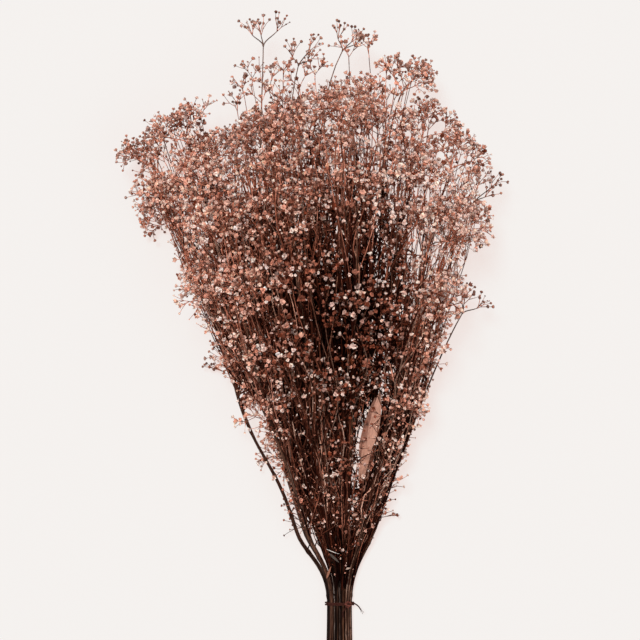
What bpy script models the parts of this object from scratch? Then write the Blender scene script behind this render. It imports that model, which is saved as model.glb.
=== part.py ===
"""A dried gypsophila bunch lying on a surface: thirteen branching stems held by a binding thread.

Frame: X across the bunch, +Y from the cut ends to the heads, +Z up, in metres. The bunch is laid
out with the thread's middle over the zero point, and is shifted at the end so that the origin is
the bottom centre of its bounding box.

Each stem is one solid: its main axis, its boughs, the sprays of ruffled florets at their ends and
a dry leaf. A place in the fanned head is given by its share of the way across (-1 left, 1 right),
its layer (-1 underside, 1 top) and its distance from the fan's apex, behind the thread.
"""

import math
import random

import bpy
import numpy as np
from mathutils import Matrix, Quaternion, Vector

SEED = 11
TOUCHING_GAP = 0.0003
FAR_ENOUGH = 0.003
FULL_TURN = 2.0 * math.pi
UP = Vector((0.0, 0.0, 1.0))

# The neck, where the thread holds the stems
STEM_RADIUS = 0.0022
STEM_TIP_RADIUS = 0.0011
STEM_SPACING = 0.00475
ROW_RISE = 0.00415
NECK_SPLAY = 8.0
CUT_END = -0.095
CUT_END_STAGGER = 0.007
CUT_END_SPLAY = 0.10
CUT_END_SINKS_OVER = 0.07
THREAD_RADIUS = 0.0008
THREAD_HALF_WIDTH = 0.0017
THREAD_RISE = 2 * THREAD_RADIUS + TOUCHING_GAP
# The thread's section over two turns: outward and along the stems, in its half sizes
THREAD_SECTION = (
    (-1.0, -1.0), (-1.0, 1.0), (0.1, 1.0), (0.8, 0.6), (0.35, 0.0), (0.8, -0.6), (0.1, -1.0),
)
THREAD_STEPS = 20
KNOT_LEAN = 0.35
TAIL_RADII = (0.9, 0.8, 0.7, 0.6)
# A lump's rings: place along X and width, in its half sizes
LUMP_RINGS = ((-0.62, 0.74), (0.05, 1.0), (0.66, 0.70))
# The knot's lumps as place and half sizes, and its tails as points, all from the thread's crossing
KNOT_LUMPS = (
    ((0.0, 0.0003, 0.0006), (0.0027, 0.0020, 0.0015)),
    ((-0.0006, -0.0006, 0.0009), (0.0014, 0.0026, 0.0012)),
)
KNOT_TAILS = (
    ((0.0, 0.0, 0.0006), (0.0042, 0.0012, 0.0016), (0.0085, -0.0012, 0.0012), (0.0115, -0.0052, -0.0006)),
    ((0.0, 0.0, 0.0006), (-0.003, -0.0036, 0.0022), (-0.0052, -0.0082, 0.0024), (-0.0042, -0.0125, 0.0016)),
)

# Rows of stems from the underside up: layer, how many, and how far across they spread
STEM_ROWS = ((-0.62, 4, 0.74), (0.0, 5, 0.92), (0.62, 4, 0.68))

# An axis: how it varies, its rings out to the first bough, and how it passes from neck to fan
RADIUS_SHARES = (0.86, 1.0)
TIP_SHARES = (0.66, 0.76)
SWAY_SIZE = 0.0045
SWAY_WAVES = (22.5, 37.5)
SWAY_PHASES = (0.0, 6.3)
SWAY_FROM = 0.04
SWAY_GROWS_OVER = 0.12
NECK_RINGS = (-0.045, -0.008, 0.008, 0.028, 0.052, 0.085, 0.125)
HEAD_RINGS = 5
FAN_FROM = 0.002
FAN_OPENS_OVER = 0.070

# The fan that the head opens into
APEX_BEHIND_THREAD = 0.033
FAN_MIDDLE = math.radians(-2.2)
FAN_HALF = math.radians(21.3)
NECK_HALF_THICKNESS = 0.0064
HEAD_HALF_THICKNESS = 0.072
FULL_THICKNESS_AT = 0.37
BLUNT_SIDES = 0.72
LOW_SIDES = 0.12

# How far the head reaches from the apex, in metres, at each angle across in degrees
REACH_ANGLES = (-27.0, -24.0, -20.0, -16.5, -14.5, -12.4, -10.4, -4.0,
                2.4, 6.0, 8.5, 10.0, 12.5, 15.0, 19.5)
REACH = (0.420, 0.486, 0.500, 0.500, 0.478, 0.470, 0.484, 0.500,
         0.518, 0.528, 0.512, 0.490, 0.484, 0.448, 0.432)

# Sprays that make the outline, each with its hub, its heading across in degrees and its size
KEY_SPRAYS = (
    ((-0.0685, 0.506, 0.086), 0.0, 0.76),
    ((-0.0400, 0.492, 0.108), 2.0, 0.64),
    ((-0.0060, 0.498, 0.094), 12.0, 0.64),
    ((0.119, 0.366, 0.064), 22.0, 0.92),
    ((0.112, 0.266, 0.054), 14.0, 0.76),
    ((-0.163, 0.394, 0.056), -30.0, 0.92),
    ((-0.148, 0.350, 0.040), -48.0, 0.92),
    ((-0.143, 0.411, 0.074), -12.0, 0.90),
    ((-0.108, 0.402, 0.052), -8.0, 0.90),
    ((0.053, 0.462, 0.082), 8.0, 0.95),
    ((0.073, 0.425, 0.058), 20.0, 0.95),
    ((0.088, 0.386, 0.092), 20.0, 0.95),
    ((-0.097, 0.216, 0.030), -34.0, 0.68),
)

# How far florets may lie outside the outline: key sprays, those at the stems' tips, and the rest
KEY_SLACK = 0.100
TIP_SLACK = 0.010
MASS_SLACK = 0.003

# Sprays, from the fork where three twigs part to the florets
SPRAY_COUNT = 40
SPRAY_START = 0.148
FORK_HALF_ANGLE = (36.0, 50.0)
TWIG_LENGTH = (0.016, 0.026)
PEDICEL_HALF_ANGLE = (34.0, 56.0)
PEDICEL_LENGTH = (0.010, 0.0155)
FLORET_RADIUS = 0.0062
FLORET_DEPTH = 0.0068
FLORET_BALL = 0.0066
FLORET_BALL_AT = 0.75
FLORET_HEART_AT = 0.55
FLORET_RUFFLE = 0.0012
NARROW_LOBE = 0.86
FLORET_OFF_GROUND = 0.0008
LEVEL_WITHIN = 0.003
BOUGH_RADIUS = 0.00125
BOUGH_END_RADIUS = 0.00090
TWIG_RADIUS = 0.00080
PEDICEL_RADIUS = 0.00062
LOWEST_HUB = 0.0135
PRESSED_UNDER = 0.024
PRESSED_AT = 0.45
SHARPEST_TURN = 0.25
FORK_PEAK = 0.42
LEAVE_SPACING = 0.007
FEWEST_FLORETS = 5
TRIES = 100
HUB_SHIFTS = (0.002, 0.012)

# Where boughs leave their axis: shares of the stem's length, or of the way out to the hub
TIP_LEAVES = (0.88, 0.97)
SIDE_LEAVES = (0.22, 0.60)
BOUGH_START_ALONG_AXIS = 0.8
BOUGH_START_PULL = 0.9
BOUGH_END_PULL = 0.7

# How a spray's heading turns outward, up or down, and at random
FACES_OUT = 0.35
FACES_WITH_LAYER = 0.62
FACES_UP = 0.10
FACES_RANDOM = 0.16

# Where the hubs of the sprays may stand, and how they are spread
HUB_ACROSS = 0.96
HUB_LAYERS = (-0.86, 0.90)
HUB_INSIDE_REACH = 0.030
HUB_DRAWS = 60
TIP_HUB = (0.97, 0.9, 0.046)
TIP_SPRAY_SIZE = 0.95
STEMS_TRIED = 3
LOAD_COST = 0.0045
BRANCH_POINT_SHARE = 0.8
FLORETS_APART = 0.016

LEAF_LENGTH = 0.019
LEAF_HALF_WIDTH = 0.0016
LEAF_HALF_THICKNESS = 0.00045
LEAF_DROOP = 0.0018
LEAF_SHAPE = ((0.0, 0.45), (0.35, 1.0), (0.72, 0.7))
LEAF_OUT = (0.055, 0.150)
LEAF_LEAN = (0.35, 0.7)
LEAF_CLEAR_FROM = 2.5
LEAF_OFF_GROUND = 0.003
LEAF_DRAWS = 30
EVERY_NTH_HAS_LEAF = 3

STEM_COLOUR = (0.085, 0.042, 0.032, 1.0)
STEM_TINTS = (0.82, 1.0, 1.22)
THREAD_COLOUR = (0.16, 0.055, 0.045, 1.0)
STEM_ROUGHNESS = 0.85
THREAD_ROUGHNESS = 0.9


def smooth(share):
    """Smooth step from 0 to 1, held outside."""
    share = min(max(share, 0.0), 1.0)
    return share * share * (3.0 - 2.0 * share)


def half_thickness(distance):
    """Half the bunch's height at a distance from the apex."""
    grow = smooth(distance / FULL_THICKNESS_AT)
    return NECK_HALF_THICKNESS + (HEAD_HALF_THICKNESS - NECK_HALF_THICKNESS) * grow


def in_fan(across, layer, distance):
    """The point of the head at these fan coordinates; its section is a lens with blunt sides."""
    angle = FAN_MIDDLE + across * FAN_HALF
    half = half_thickness(distance)
    lens = half * math.sqrt(1.0 - BLUNT_SIDES * min(across * across, 1.0))
    height = THREAD_RISE + half * (1.0 - LOW_SIDES * across * across) + layer * lens
    return Vector((distance * math.sin(angle), distance * math.cos(angle) - APEX_BEHIND_THREAD, height))


def fan_angle_and_distance(point):
    """The plan angle in degrees and the distance of a point, seen from the apex."""
    along = point.y + APEX_BEHIND_THREAD
    return math.degrees(math.atan2(point.x, along)), math.hypot(point.x, along)


def reach_at(angle):
    """How far the head reaches at a plan angle in degrees."""
    return float(np.interp(angle, REACH_ANGLES, REACH))


def past_outline(point):
    """How far a point lies outside the head's outline in plan, in metres; negative inside."""
    angle, distance = fan_angle_and_distance(point)
    middle = math.degrees(FAN_MIDDLE)
    half = math.degrees(FAN_HALF)
    sideways = distance * math.radians(abs(angle - middle) - half)
    return max(sideways, distance - reach_at(angle))


class Capsules:
    """Round-ended rods that stand for what is placed so far, each with the stem that owns it."""

    def __init__(self, room=9000):
        self.start = np.zeros((room, 3))
        self.end = np.zeros((room, 3))
        self.radius = np.zeros(room)
        self.owner = np.zeros(room, dtype=int)
        self.count = 0

    def add(self, rods, owner):
        """Adds rods, each a start, an end and a radius."""
        for start, end, radius in rods:
            self.start[self.count] = start
            self.end[self.count] = end
            self.radius[self.count] = radius
            self.owner[self.count] = owner
            self.count += 1

    def gaps(self, rods, skip=None):
        """The least free distance of each rod from what is placed, without what one owner has."""
        p1, q1, r1 = rod_arrays(rods)
        p2 = self.start[:self.count]
        q2 = self.end[:self.count]
        low = np.minimum(p1, q1).min(axis=0) - r1.max() - FAR_ENOUGH
        high = np.maximum(p1, q1).max(axis=0) + r1.max() + FAR_ENOUGH
        ball = self.radius[:self.count, None]
        near = np.all((np.minimum(p2, q2) - ball < high) & (np.maximum(p2, q2) + ball > low), axis=1)
        if skip is not None:
            near &= self.owner[:self.count] != skip
        if not near.any():
            return np.full(len(rods), FAR_ENOUGH)
        apart = rod_distances(p1, q1, p2[near], q2[near])
        return (apart - r1[:, None] - self.radius[:self.count][near][None, :]).min(axis=1)


def rod_distances(p1, q1, p2, q2):
    """Distances between every segment of one set and every segment of another."""
    d1 = (q1 - p1)[:, None, :]
    d2 = (q2 - p2)[None, :, :]
    r = p1[:, None, :] - p2[None, :, :]
    a = np.maximum((d1 * d1).sum(-1), 1e-12)
    e = np.maximum((d2 * d2).sum(-1), 1e-12)
    b = (d1 * d2).sum(-1)
    c = (d1 * r).sum(-1)
    f = (d2 * r).sum(-1)
    spread = a * e - b * b
    s = np.where(spread > 1e-15, np.clip((b * f - c * e) / np.maximum(spread, 1e-15), 0.0, 1.0), 0.0)
    t = np.clip((b * s + f) / e, 0.0, 1.0)
    s = np.clip((b * t - c) / a, 0.0, 1.0)
    apart = r + s[..., None] * d1 - t[..., None] * d2
    return np.sqrt((apart * apart).sum(-1))


class Stem:
    """One stem's place in the neck and the fan, its axis, and the sprays and leaf it carries."""

    def __init__(self, number, row, slot, draw):
        layer, count, spread = STEM_ROWS[row]
        share = 2.0 * slot / (count - 1) - 1.0
        self.number = number
        self.across = spread * share
        self.layer = layer
        self.slot_x = (slot - 0.5 * (count - 1)) * STEM_SPACING
        self.slot_z = THREAD_RISE + STEM_RADIUS + row * ROW_RISE
        self.radius = STEM_RADIUS * draw.uniform(*RADIUS_SHARES)
        self.sway = [(draw.uniform(-SWAY_SIZE, SWAY_SIZE), draw.uniform(*SWAY_WAVES),
                      draw.uniform(*SWAY_PHASES)) for _ in range(2)]
        self.cut_y = CUT_END + draw.uniform(0.0, 2.0) * CUT_END_STAGGER
        self.tip = reach_at(math.degrees(FAN_MIDDLE + self.across * FAN_HALF)) * draw.uniform(*TIP_SHARES)
        self.length = self.tip - APEX_BEHIND_THREAD
        self.sprays = []
        self.leaf = None
        self.outs = [self.cut_y] + list(NECK_RINGS)
        left = self.length - NECK_RINGS[-1]
        self.outs += [NECK_RINGS[-1] + left * (step + 1) / HEAD_RINGS for step in range(HEAD_RINGS)]
        self.axis = [self.at(out) for out in self.outs]
        self.radii = [self.radius_at(out) for out in self.outs]

    def at(self, out):
        """The axis point at a distance out from the thread; negative towards the cut end."""
        towards_cut = smooth(-out / CUT_END_SINKS_OVER)
        sink = THREAD_RISE * towards_cut
        splay = 1.0 + CUT_END_SPLAY * towards_cut
        splay += NECK_SPLAY * max(out - THREAD_HALF_WIDTH, 0.0)
        held = Vector((self.slot_x * splay, out, self.slot_z - sink))
        if out <= 0.0:
            return held
        free = in_fan(self.across, self.layer, out + APEX_BEHIND_THREAD)
        grown = smooth((out - SWAY_FROM) / SWAY_GROWS_OVER)
        for push, (size, waves, phase) in zip((Vector((1.0, 0.0, 0.0)), UP), self.sway):
            free += push * size * grown * math.sin(phase + waves * out)
        return held.lerp(free, smooth((out - FAN_FROM) / FAN_OPENS_OVER))

    def on_axis(self, out):
        """The point of the built axis, which runs straight between its rings, at a distance out."""
        along = [float(np.interp(out, self.outs, [point[k] for point in self.axis])) for k in range(3)]
        return Vector(along)

    def radius_at(self, out):
        """The axis radius: even in the neck, then tapering to the tip."""
        share = max(out, 0.0) / self.length
        return self.radius + (STEM_TIP_RADIUS - self.radius) * min(share, 1.0)

    def rods(self):
        """The capsules of the axis."""
        return [(self.axis[i], self.axis[i + 1], max(self.radii[i], self.radii[i + 1]))
                for i in range(len(self.axis) - 1)]


class Spray:
    """A bough with a fork at its end: three twigs, each with three florets on pedicels.

    trunk runs from inside the stem's axis to the fork. twigs holds, for each twig, its end, its
    direction and its florets, each a base point, a facing and whether it is pressed flat.
    """

    def __init__(self, trunk, facing, size, draw):
        self.trunk = trunk
        self.facing = facing
        self.leave = 0.0
        self.twigs = []
        hub = trunk[-1]
        rest_taken = False
        for heading in fork(facing, FORK_HALF_ANGLE, draw):
            length = draw.uniform(*TWIG_LENGTH) * size
            end = hub + heading * length
            end.z = max(end.z, LOWEST_HUB)
            heading = (end - hub).normalized()
            florets = []
            for aim in fork(heading, PEDICEL_HALF_ANGLE, draw):
                base = end + aim * draw.uniform(*PEDICEL_LENGTH) * size
                base.z = max(base.z, FLORET_RADIUS + FLORET_OFF_GROUND)
                aim = (base - end).normalized()
                if base.z < FLORET_RADIUS + LEVEL_WITHIN:
                    aim.z = max(aim.z, 0.0)
                    aim.normalize()
                florets.append((base, aim, False))
            if end.z < PRESSED_UNDER and not rest_taken:
                base = end.lerp(florets[0][0], PRESSED_AT)
                base.z = FLORET_DEPTH
                florets[0] = (base, -UP, True)
                rest_taken = True
            self.twigs.append((end, heading, florets))

    def trunk_rods(self):
        """The capsules of the bough, up to the fork."""
        return [(self.trunk[i], self.trunk[i + 1], BOUGH_RADIUS) for i in range(len(self.trunk) - 1)]

    def head_rods(self):
        """The capsules of twigs, pedicels and florets, each with its twig, floret and part."""
        rods = []
        places = []
        for i, (end, _heading, florets) in enumerate(self.twigs):
            rods.append((self.trunk[-1], end, BOUGH_END_RADIUS))
            places.append((i, None, "twig"))
            for j, (base, aim, _pressed) in enumerate(florets):
                middle = base + aim * FLORET_BALL_AT * FLORET_DEPTH
                rods.append((end, base, TWIG_RADIUS))
                places.append((i, j, "pedicel"))
                rods.append((middle, middle + aim * 0.0001, FLORET_BALL))
                places.append((i, j, "ball"))
        return rods, places

    def keep_clear_parts(self, space):
        """Drops the florets and twigs that would touch something placed or each other."""
        rods, places = self.head_rods()
        free = space.gaps(rods) >= TOUCHING_GAP
        starts, ends, radii = rod_arrays(rods)
        low, high, thick = rod_arrays(self.trunk_rods())
        apart = rod_distances(starts, ends, starts, ends) - radii[:, None] - radii[None, :]
        from_trunk = (rod_distances(starts, ends, low, high) - radii[:, None] - thick).min(axis=1)
        kept = []
        for k, (i, j, part) in enumerate(places):
            if part == "ball" and from_trunk[k] < TOUCHING_GAP:
                free[k] = False
            for m in kept:
                if apart[k, m] < TOUCHING_GAP and not share_joint(places[k], places[m]):
                    free[k] = False
            if part != "twig" and not free[places.index((i, None, "twig"))]:
                free[k] = False
            if part == "ball" and not free[k - 1]:
                free[k] = False
            if free[k]:
                kept.append(k)
        twigs = []
        for i, (end, heading, florets) in enumerate(self.twigs):
            left = [floret for j, floret in enumerate(florets)
                    if free[places.index((i, j, "ball"))] and turns_gently(heading, end, floret)]
            if left and heading.dot(self.facing) > SHARPEST_TURN:
                twigs.append((end, heading, left))
        self.twigs = twigs

    def floret_count(self):
        """How many florets the spray has."""
        return sum(len(florets) for _end, _heading, florets in self.twigs)

    def floret_points(self):
        """The middles of the florets' mouths."""
        return [base + aim * FLORET_DEPTH for _end, _heading, florets in self.twigs
                for base, aim, _pressed in florets]


def turns_gently(heading, end, floret):
    """Whether the way from a twig through its pedicel into a floret has no sharp turn."""
    base, aim, _pressed = floret
    way = (base - end).normalized()
    return way.dot(heading) > SHARPEST_TURN and (way.dot(aim) > 2 * SHARPEST_TURN)


def share_joint(one, other):
    """Whether two rods of a spray, as twig, floret and part, meet at a joint."""
    if one[2] == "twig" and other[2] == "twig":
        return True
    if one[0] != other[0]:
        return False
    parts = {one[2], other[2]}
    return parts == {"twig", "pedicel"} or parts == {"pedicel"} or (
        one[1] == other[1] and parts == {"pedicel", "ball"})


def rod_arrays(rods):
    """The starts, ends and radii of rods as arrays."""
    return (np.array([rod[0] for rod in rods]), np.array([rod[1] for rod in rods]),
            np.array([rod[2] for rod in rods]))


def fork(heading, half_angles, draw):
    """Three headings spread round one, at a random turn and half angle in degrees."""
    side = heading.orthogonal().normalized()
    turn = draw.uniform(0.0, 120.0)
    out = []
    for third in range(3):
        axis = side.copy()
        axis.rotate(Quaternion(heading, math.radians(turn + 120.0 * third + draw.uniform(-14.0, 14.0))))
        aim = heading.copy()
        aim.rotate(Quaternion(axis, math.radians(draw.uniform(*half_angles))))
        out.append(aim)
    return out


def bough_path(stem, leave, hub, facing):
    """Points of a bough that leaves the axis gently and arrives at the hub along the facing."""
    start = stem.on_axis(leave)
    along = (stem.on_axis(leave + 0.01) - start).normalized()
    span = (hub - start).length
    mixed = along.lerp((hub - start).normalized(), 1.0 - BOUGH_START_ALONG_AXIS)
    first = mixed.normalized() * span * BOUGH_START_PULL
    last = facing * span * BOUGH_END_PULL
    path = []
    for step in range(5):
        t = step / 4.0
        path.append(start * (2 * t**3 - 3 * t**2 + 1) + first * (t**3 - 2 * t**2 + t)
                    + hub * (3 * t**2 - 2 * t**3) + last * (t**3 - t**2))
    return path


def head_facing(across, layer, heading, draw):
    """The way a spray faces: outward, and up or down with its layer."""
    facing = Vector((math.sin(heading), math.cos(heading), 0.0))
    facing += Vector((FACES_OUT * across, 0.0, FACES_WITH_LAYER * layer + FACES_UP))
    facing += Vector([draw.gauss(0.0, FACES_RANDOM) for _ in range(3)])
    return facing.normalized()


def nearest_stems(stems, hub, load):
    """The stems that pass nearest to the hub's ray, with a cost for what each carries."""
    def cost(stem):
        reach = fan_angle_and_distance(hub)[1]
        out = min(reach * BRANCH_POINT_SHARE, stem.tip) - APEX_BEHIND_THREAD
        return (stem.at(out) - in_fan_of(hub, out)).length + LOAD_COST * load[stem.number]
    return sorted(stems, key=cost)[:STEMS_TRIED]


def in_fan_of(hub, out):
    """The point at a distance out on the ray from the apex to a hub."""
    angle, distance = fan_angle_and_distance(hub)
    share = (out + APEX_BEHIND_THREAD) / distance
    flat = Vector((hub.x, hub.y + APEX_BEHIND_THREAD, 0.0)) * share
    near = half_thickness(out + APEX_BEHIND_THREAD)
    far = half_thickness(distance)
    height = THREAD_RISE + near + (hub.z - THREAD_RISE - far) * near / far
    return Vector((flat.x, flat.y - APEX_BEHIND_THREAD, height))


def spread_of(points, placed):
    """How well new florets fill gaps seen from above: the sum of their distances, capped."""
    if not placed:
        return 0.0
    squash = np.array((1.0, 1.0, 0.5))
    new = np.array(points) * squash
    old = np.array(placed) * squash
    apart = np.sqrt(((new[:, None, :] - old[None, :, :]) ** 2).sum(-1)).min(axis=1)
    return float(np.minimum(apart, FLORETS_APART).sum())


def place_spray(stem, hub, heading, size, limit, leaves, space, placed, draw):
    """The best clear spray near a hub out of many tries, or None.

    limit is how far outside the outline a floret may lie, and leaves is the range of distances out
    at which the bough may leave the axis.
    """
    best = None
    best_score = -1.0
    angle, distance = fan_angle_and_distance(hub)
    across = (math.radians(angle) - FAN_MIDDLE) / FAN_HALF
    layer = (hub.z - THREAD_RISE - half_thickness(distance)) / half_thickness(distance)
    for attempt in range(TRIES):
        shift = HUB_SHIFTS[0] + (HUB_SHIFTS[1] - HUB_SHIFTS[0]) * attempt / TRIES
        moved = hub + Vector([draw.uniform(-shift, shift) for _ in range(3)])
        moved.z = max(moved.z, LOWEST_HUB)
        facing = head_facing(across, layer, heading, draw)
        leave = min(draw.uniform(*leaves), TIP_LEAVES[1] * stem.length)
        if any(abs(leave - other.leave) < LEAVE_SPACING for other in stem.sprays):
            continue
        spray = Spray(bough_path(stem, leave, moved, facing), facing, size, draw)
        spray.leave = leave
        if min(point.z for point in spray.trunk) < BOUGH_RADIUS + TOUCHING_GAP:
            continue
        if max(past_outline(point) for point in spray.floret_points()) > limit:
            continue
        trunk = spray.trunk_rods()
        if min(space.gaps(trunk, skip=stem.number)) < TOUCHING_GAP:
            continue
        if min(space.gaps(trunk[2:])) < TOUCHING_GAP:
            continue
        spray.keep_clear_parts(space)
        if spray.floret_count() < FEWEST_FLORETS:
            continue
        score = spread_of(spray.floret_points(), placed)
        if score > best_score:
            best = spray
            best_score = score
    return best


def hubs_in_head(count, hubs, draw):
    """Hubs that fill the head evenly: each is the farthest from the others of many draws."""
    chosen = list(hubs)
    fresh = []
    squash = Vector((1.0, 1.0, 0.8))
    while len(fresh) < count:
        best = None
        best_gap = -1.0
        for _ in range(HUB_DRAWS):
            across = draw.uniform(-HUB_ACROSS, HUB_ACROSS)
            layer = draw.uniform(*HUB_LAYERS)
            reach = reach_at(math.degrees(FAN_MIDDLE + across * FAN_HALF)) - HUB_INSIDE_REACH
            distance = math.sqrt(draw.uniform(SPRAY_START**2, reach**2))
            hub = in_fan(across, layer, distance)
            inset = distance * FAN_HALF * (1.0 - abs(across))
            gap = min(((hub - other) * squash).length for other in chosen)
            gap = min(gap, 0.5 * gap + 2.0 * inset)
            if gap > best_gap:
                best = hub
                best_gap = gap
        chosen.append(best)
        fresh.append(best)
    return fresh


def lay_out_bunch():
    """All stems with their sprays and leaves, every one clear of the others."""
    draw = random.Random(SEED)
    space = Capsules()
    stems = []
    for row, (_layer, count, _spread) in enumerate(STEM_ROWS):
        for slot in range(count):
            stems.append(Stem(len(stems) + 1, row, slot, draw))
    for stem in stems:
        if stem.number > 1 and min(space.gaps(stem.rods())) < TOUCHING_GAP:
            raise RuntimeError("stem %d is too close to another" % stem.number)
        space.add(stem.rods(), stem.number)

    wanted = []
    for place, heading, size in KEY_SPRAYS:
        wanted.append((None, Vector(place), math.radians(heading), size, KEY_SLACK))
    for stem in stems:
        hub = in_fan(stem.across * TIP_HUB[0], stem.layer * TIP_HUB[1], stem.tip + TIP_HUB[2])
        wanted.append((stem, hub, FAN_MIDDLE + stem.across * FAN_HALF, TIP_SPRAY_SIZE, TIP_SLACK))
    for hub in hubs_in_head(SPRAY_COUNT, [item[1] for item in wanted], draw):
        wanted.append((None, hub, math.radians(fan_angle_and_distance(hub)[0]), 1.0, MASS_SLACK))

    load = {stem.number: 0 for stem in stems}
    placed = []
    for own_stem, hub, heading, size, limit in wanted:
        out = fan_angle_and_distance(hub)[1] - APEX_BEHIND_THREAD
        for stem in [own_stem] if own_stem else nearest_stems(stems, hub, load):
            shares, reach = (TIP_LEAVES, stem.length) if own_stem else (SIDE_LEAVES, out)
            leaves = (shares[0] * reach, shares[1] * reach)
            spray = place_spray(stem, hub, heading, size, limit, leaves, space, placed, draw)
            if spray:
                break
        if spray is None:
            continue
        stem.sprays.append(spray)
        load[stem.number] += 1
        space.add(spray.trunk_rods(), stem.number)
        space.add(spray.head_rods()[0], stem.number)
        placed += [tuple(point) for point in spray.floret_points()]
    for stem in stems[::EVERY_NTH_HAS_LEAF]:
        stem.leaf = place_leaf(stem, space, draw)
    return stems


def place_leaf(stem, space, draw):
    """A narrow leaf at a node of the stem, as its start, its heading and its flat side, or None."""
    for _ in range(LEAF_DRAWS):
        out = draw.uniform(*LEAF_OUT)
        start = stem.on_axis(out)
        along = (stem.on_axis(out + 0.01) - start).normalized()
        side = along.orthogonal().normalized()
        side.rotate(Quaternion(along, draw.uniform(0.0, FULL_TURN)))
        heading = (along + side * draw.uniform(*LEAF_LEAN)).normalized()
        root = start + heading * LEAF_CLEAR_FROM * stem.radius
        tip = start + heading * LEAF_LENGTH
        rods = [(root, tip, LEAF_HALF_WIDTH)]
        if tip.z > LEAF_OFF_GROUND and min(space.gaps(rods)) > TOUCHING_GAP:
            space.add(rods, stem.number)
            return start, heading, side.cross(along).normalized()
    return None


class Builder:
    """Collects points and faces of one closed shape."""

    def __init__(self):
        self.points = []
        self.faces = []

    def ring(self, points):
        """Adds a ring of points and returns their numbers."""
        first = len(self.points)
        self.points += [tuple(point) for point in points]
        return list(range(first, first + len(points)))

    def where(self, ring):
        """The positions of a ring's points."""
        return [Vector(self.points[number]) for number in ring]

    def bridge(self, low, high):
        """Joins two rings of one length with quads."""
        count = len(low)
        for i in range(count):
            j = (i + 1) % count
            self.faces.append((low[i], low[j], high[j], high[i]))

    def grow(self, ring, centre, heading, radius):
        """A ring carried on without a twist to a centre, square to a heading; returns its numbers."""
        old = self.where(ring)
        middle = sum(old, Vector()) / len(old)
        points = []
        for point in old:
            away = point - middle
            away -= heading * away.dot(heading)
            points.append(centre + away.normalized() * radius)
        fresh = self.ring(points)
        self.bridge(ring, fresh)
        return fresh

    def make(self, name, collection):
        """The object made of the points and faces, in a collection."""
        mesh = bpy.data.meshes.new(name)
        mesh.from_pydata(self.points, [], self.faces)
        mesh.validate()
        item = bpy.data.objects.new(name, mesh)
        collection.objects.link(item)
        return item


def circle(centre, heading, radius, sides):
    """Points of a regular ring square to a heading, anticlockwise about it."""
    side = heading.orthogonal().normalized()
    points = []
    for i in range(sides):
        away = side.copy()
        away.rotate(Quaternion(heading, FULL_TURN * i / sides))
        points.append(centre + away * radius)
    return points


def path_headings(path):
    """The heading at each point of a path."""
    out = []
    for i in range(len(path)):
        before = path[max(i - 1, 0)]
        after = path[min(i + 1, len(path) - 1)]
        out.append((after - before).normalized())
    return out


def add_tube(builder, path, radii, sides, close_end=True):
    """A tube along a path, closed at its start; returns its last ring."""
    headings = path_headings(path)
    ring = builder.ring(circle(path[0], headings[0], radii[0], sides))
    builder.faces.append(tuple(reversed(ring)))
    for i in range(1, len(path)):
        ring = builder.grow(ring, path[i], headings[i], radii[i])
    if close_end:
        builder.faces.append(tuple(ring))
    return ring


def add_fork(builder, ring, heading):
    """Closes a three-point ring with a low peak; returns the peak's three faces as rings."""
    points = builder.where(ring)
    middle = sum(points, Vector()) / 3.0
    width = (points[0] - middle).length
    peak = builder.ring([middle + heading * width * FORK_PEAK])[0]
    return [[ring[i], ring[(i + 1) % 3], peak] for i in range(3)]


def match_faces(builder, faces, headings):
    """Gives each heading the fork's face that points its way, best fit overall; closes the rest."""
    normals = []
    for face in faces:
        a, b, c = builder.where(face)
        normals.append((b - a).cross(c - a).normalized())
    orders = ((0, 1, 2), (0, 2, 1), (1, 0, 2), (1, 2, 0), (2, 0, 1), (2, 1, 0))

    def fit(order):
        return sum(normals[order[i]].dot(headings[i]) for i in range(len(headings)))

    best = max(orders, key=fit)
    for spare in best[len(headings):]:
        builder.faces.append(tuple(faces[spare]))
    return [(faces[best[i]], i) for i in range(len(headings))]


def add_floret(builder, ring, base, aim, pressed):
    """A ruffled funnel on a pedicel's last ring: six petal lobes, low and high by turns."""
    points = builder.where(ring)
    side = (points[0] - base).normalized()
    lobes = []
    for i in range(6):
        away = side.copy()
        away.rotate(Quaternion(aim, math.pi * i / 3.0))
        rise = FLORET_DEPTH
        width = FLORET_RADIUS
        if i % 2 == 1:
            width *= NARROW_LOBE
            rise -= 0.0 if pressed else FLORET_RUFFLE
        lobes.append(base + aim * rise + away * width)
    rim = builder.ring(lobes)
    for i in range(3):
        j = (i + 1) % 3
        builder.faces.append((ring[i], ring[j], rim[2 * i + 1]))
        builder.faces.append((ring[i], rim[2 * i + 1], rim[2 * i]))
        builder.faces.append((ring[j], rim[(2 * i + 2) % 6], rim[2 * i + 1]))
    sink = FLORET_DEPTH if pressed else FLORET_HEART_AT * FLORET_DEPTH
    heart = builder.ring([base + aim * sink])[0]
    for i in range(6):
        builder.faces.append((heart, rim[i], rim[(i + 1) % 6]))


def make_spray(spray, name, collection):
    """A spray as one closed shape: bough, twigs, pedicels and florets grown from each other."""
    builder = Builder()
    steps = len(spray.trunk) - 1
    radii = list(np.linspace(BOUGH_RADIUS, BOUGH_END_RADIUS, steps + 1))
    trunk_end = add_tube(builder, spray.trunk, radii, 3, close_end=False)
    twig_faces = add_fork(builder, trunk_end, spray.facing)
    for face, index in match_faces(builder, twig_faces, [twig[1] for twig in spray.twigs]):
        end, heading, florets = spray.twigs[index]
        twig_end = builder.grow(face, end, heading, TWIG_RADIUS)
        pedicel_faces = add_fork(builder, twig_end, heading)
        aims = [(base - end).normalized() for base, _aim, _pressed in florets]
        for small_face, number in match_faces(builder, pedicel_faces, aims):
            base, aim, pressed = florets[number]
            neck = builder.grow(small_face, base, aim, PEDICEL_RADIUS)
            add_floret(builder, neck, base, aim, pressed)
    return builder.make(name, collection)


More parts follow.
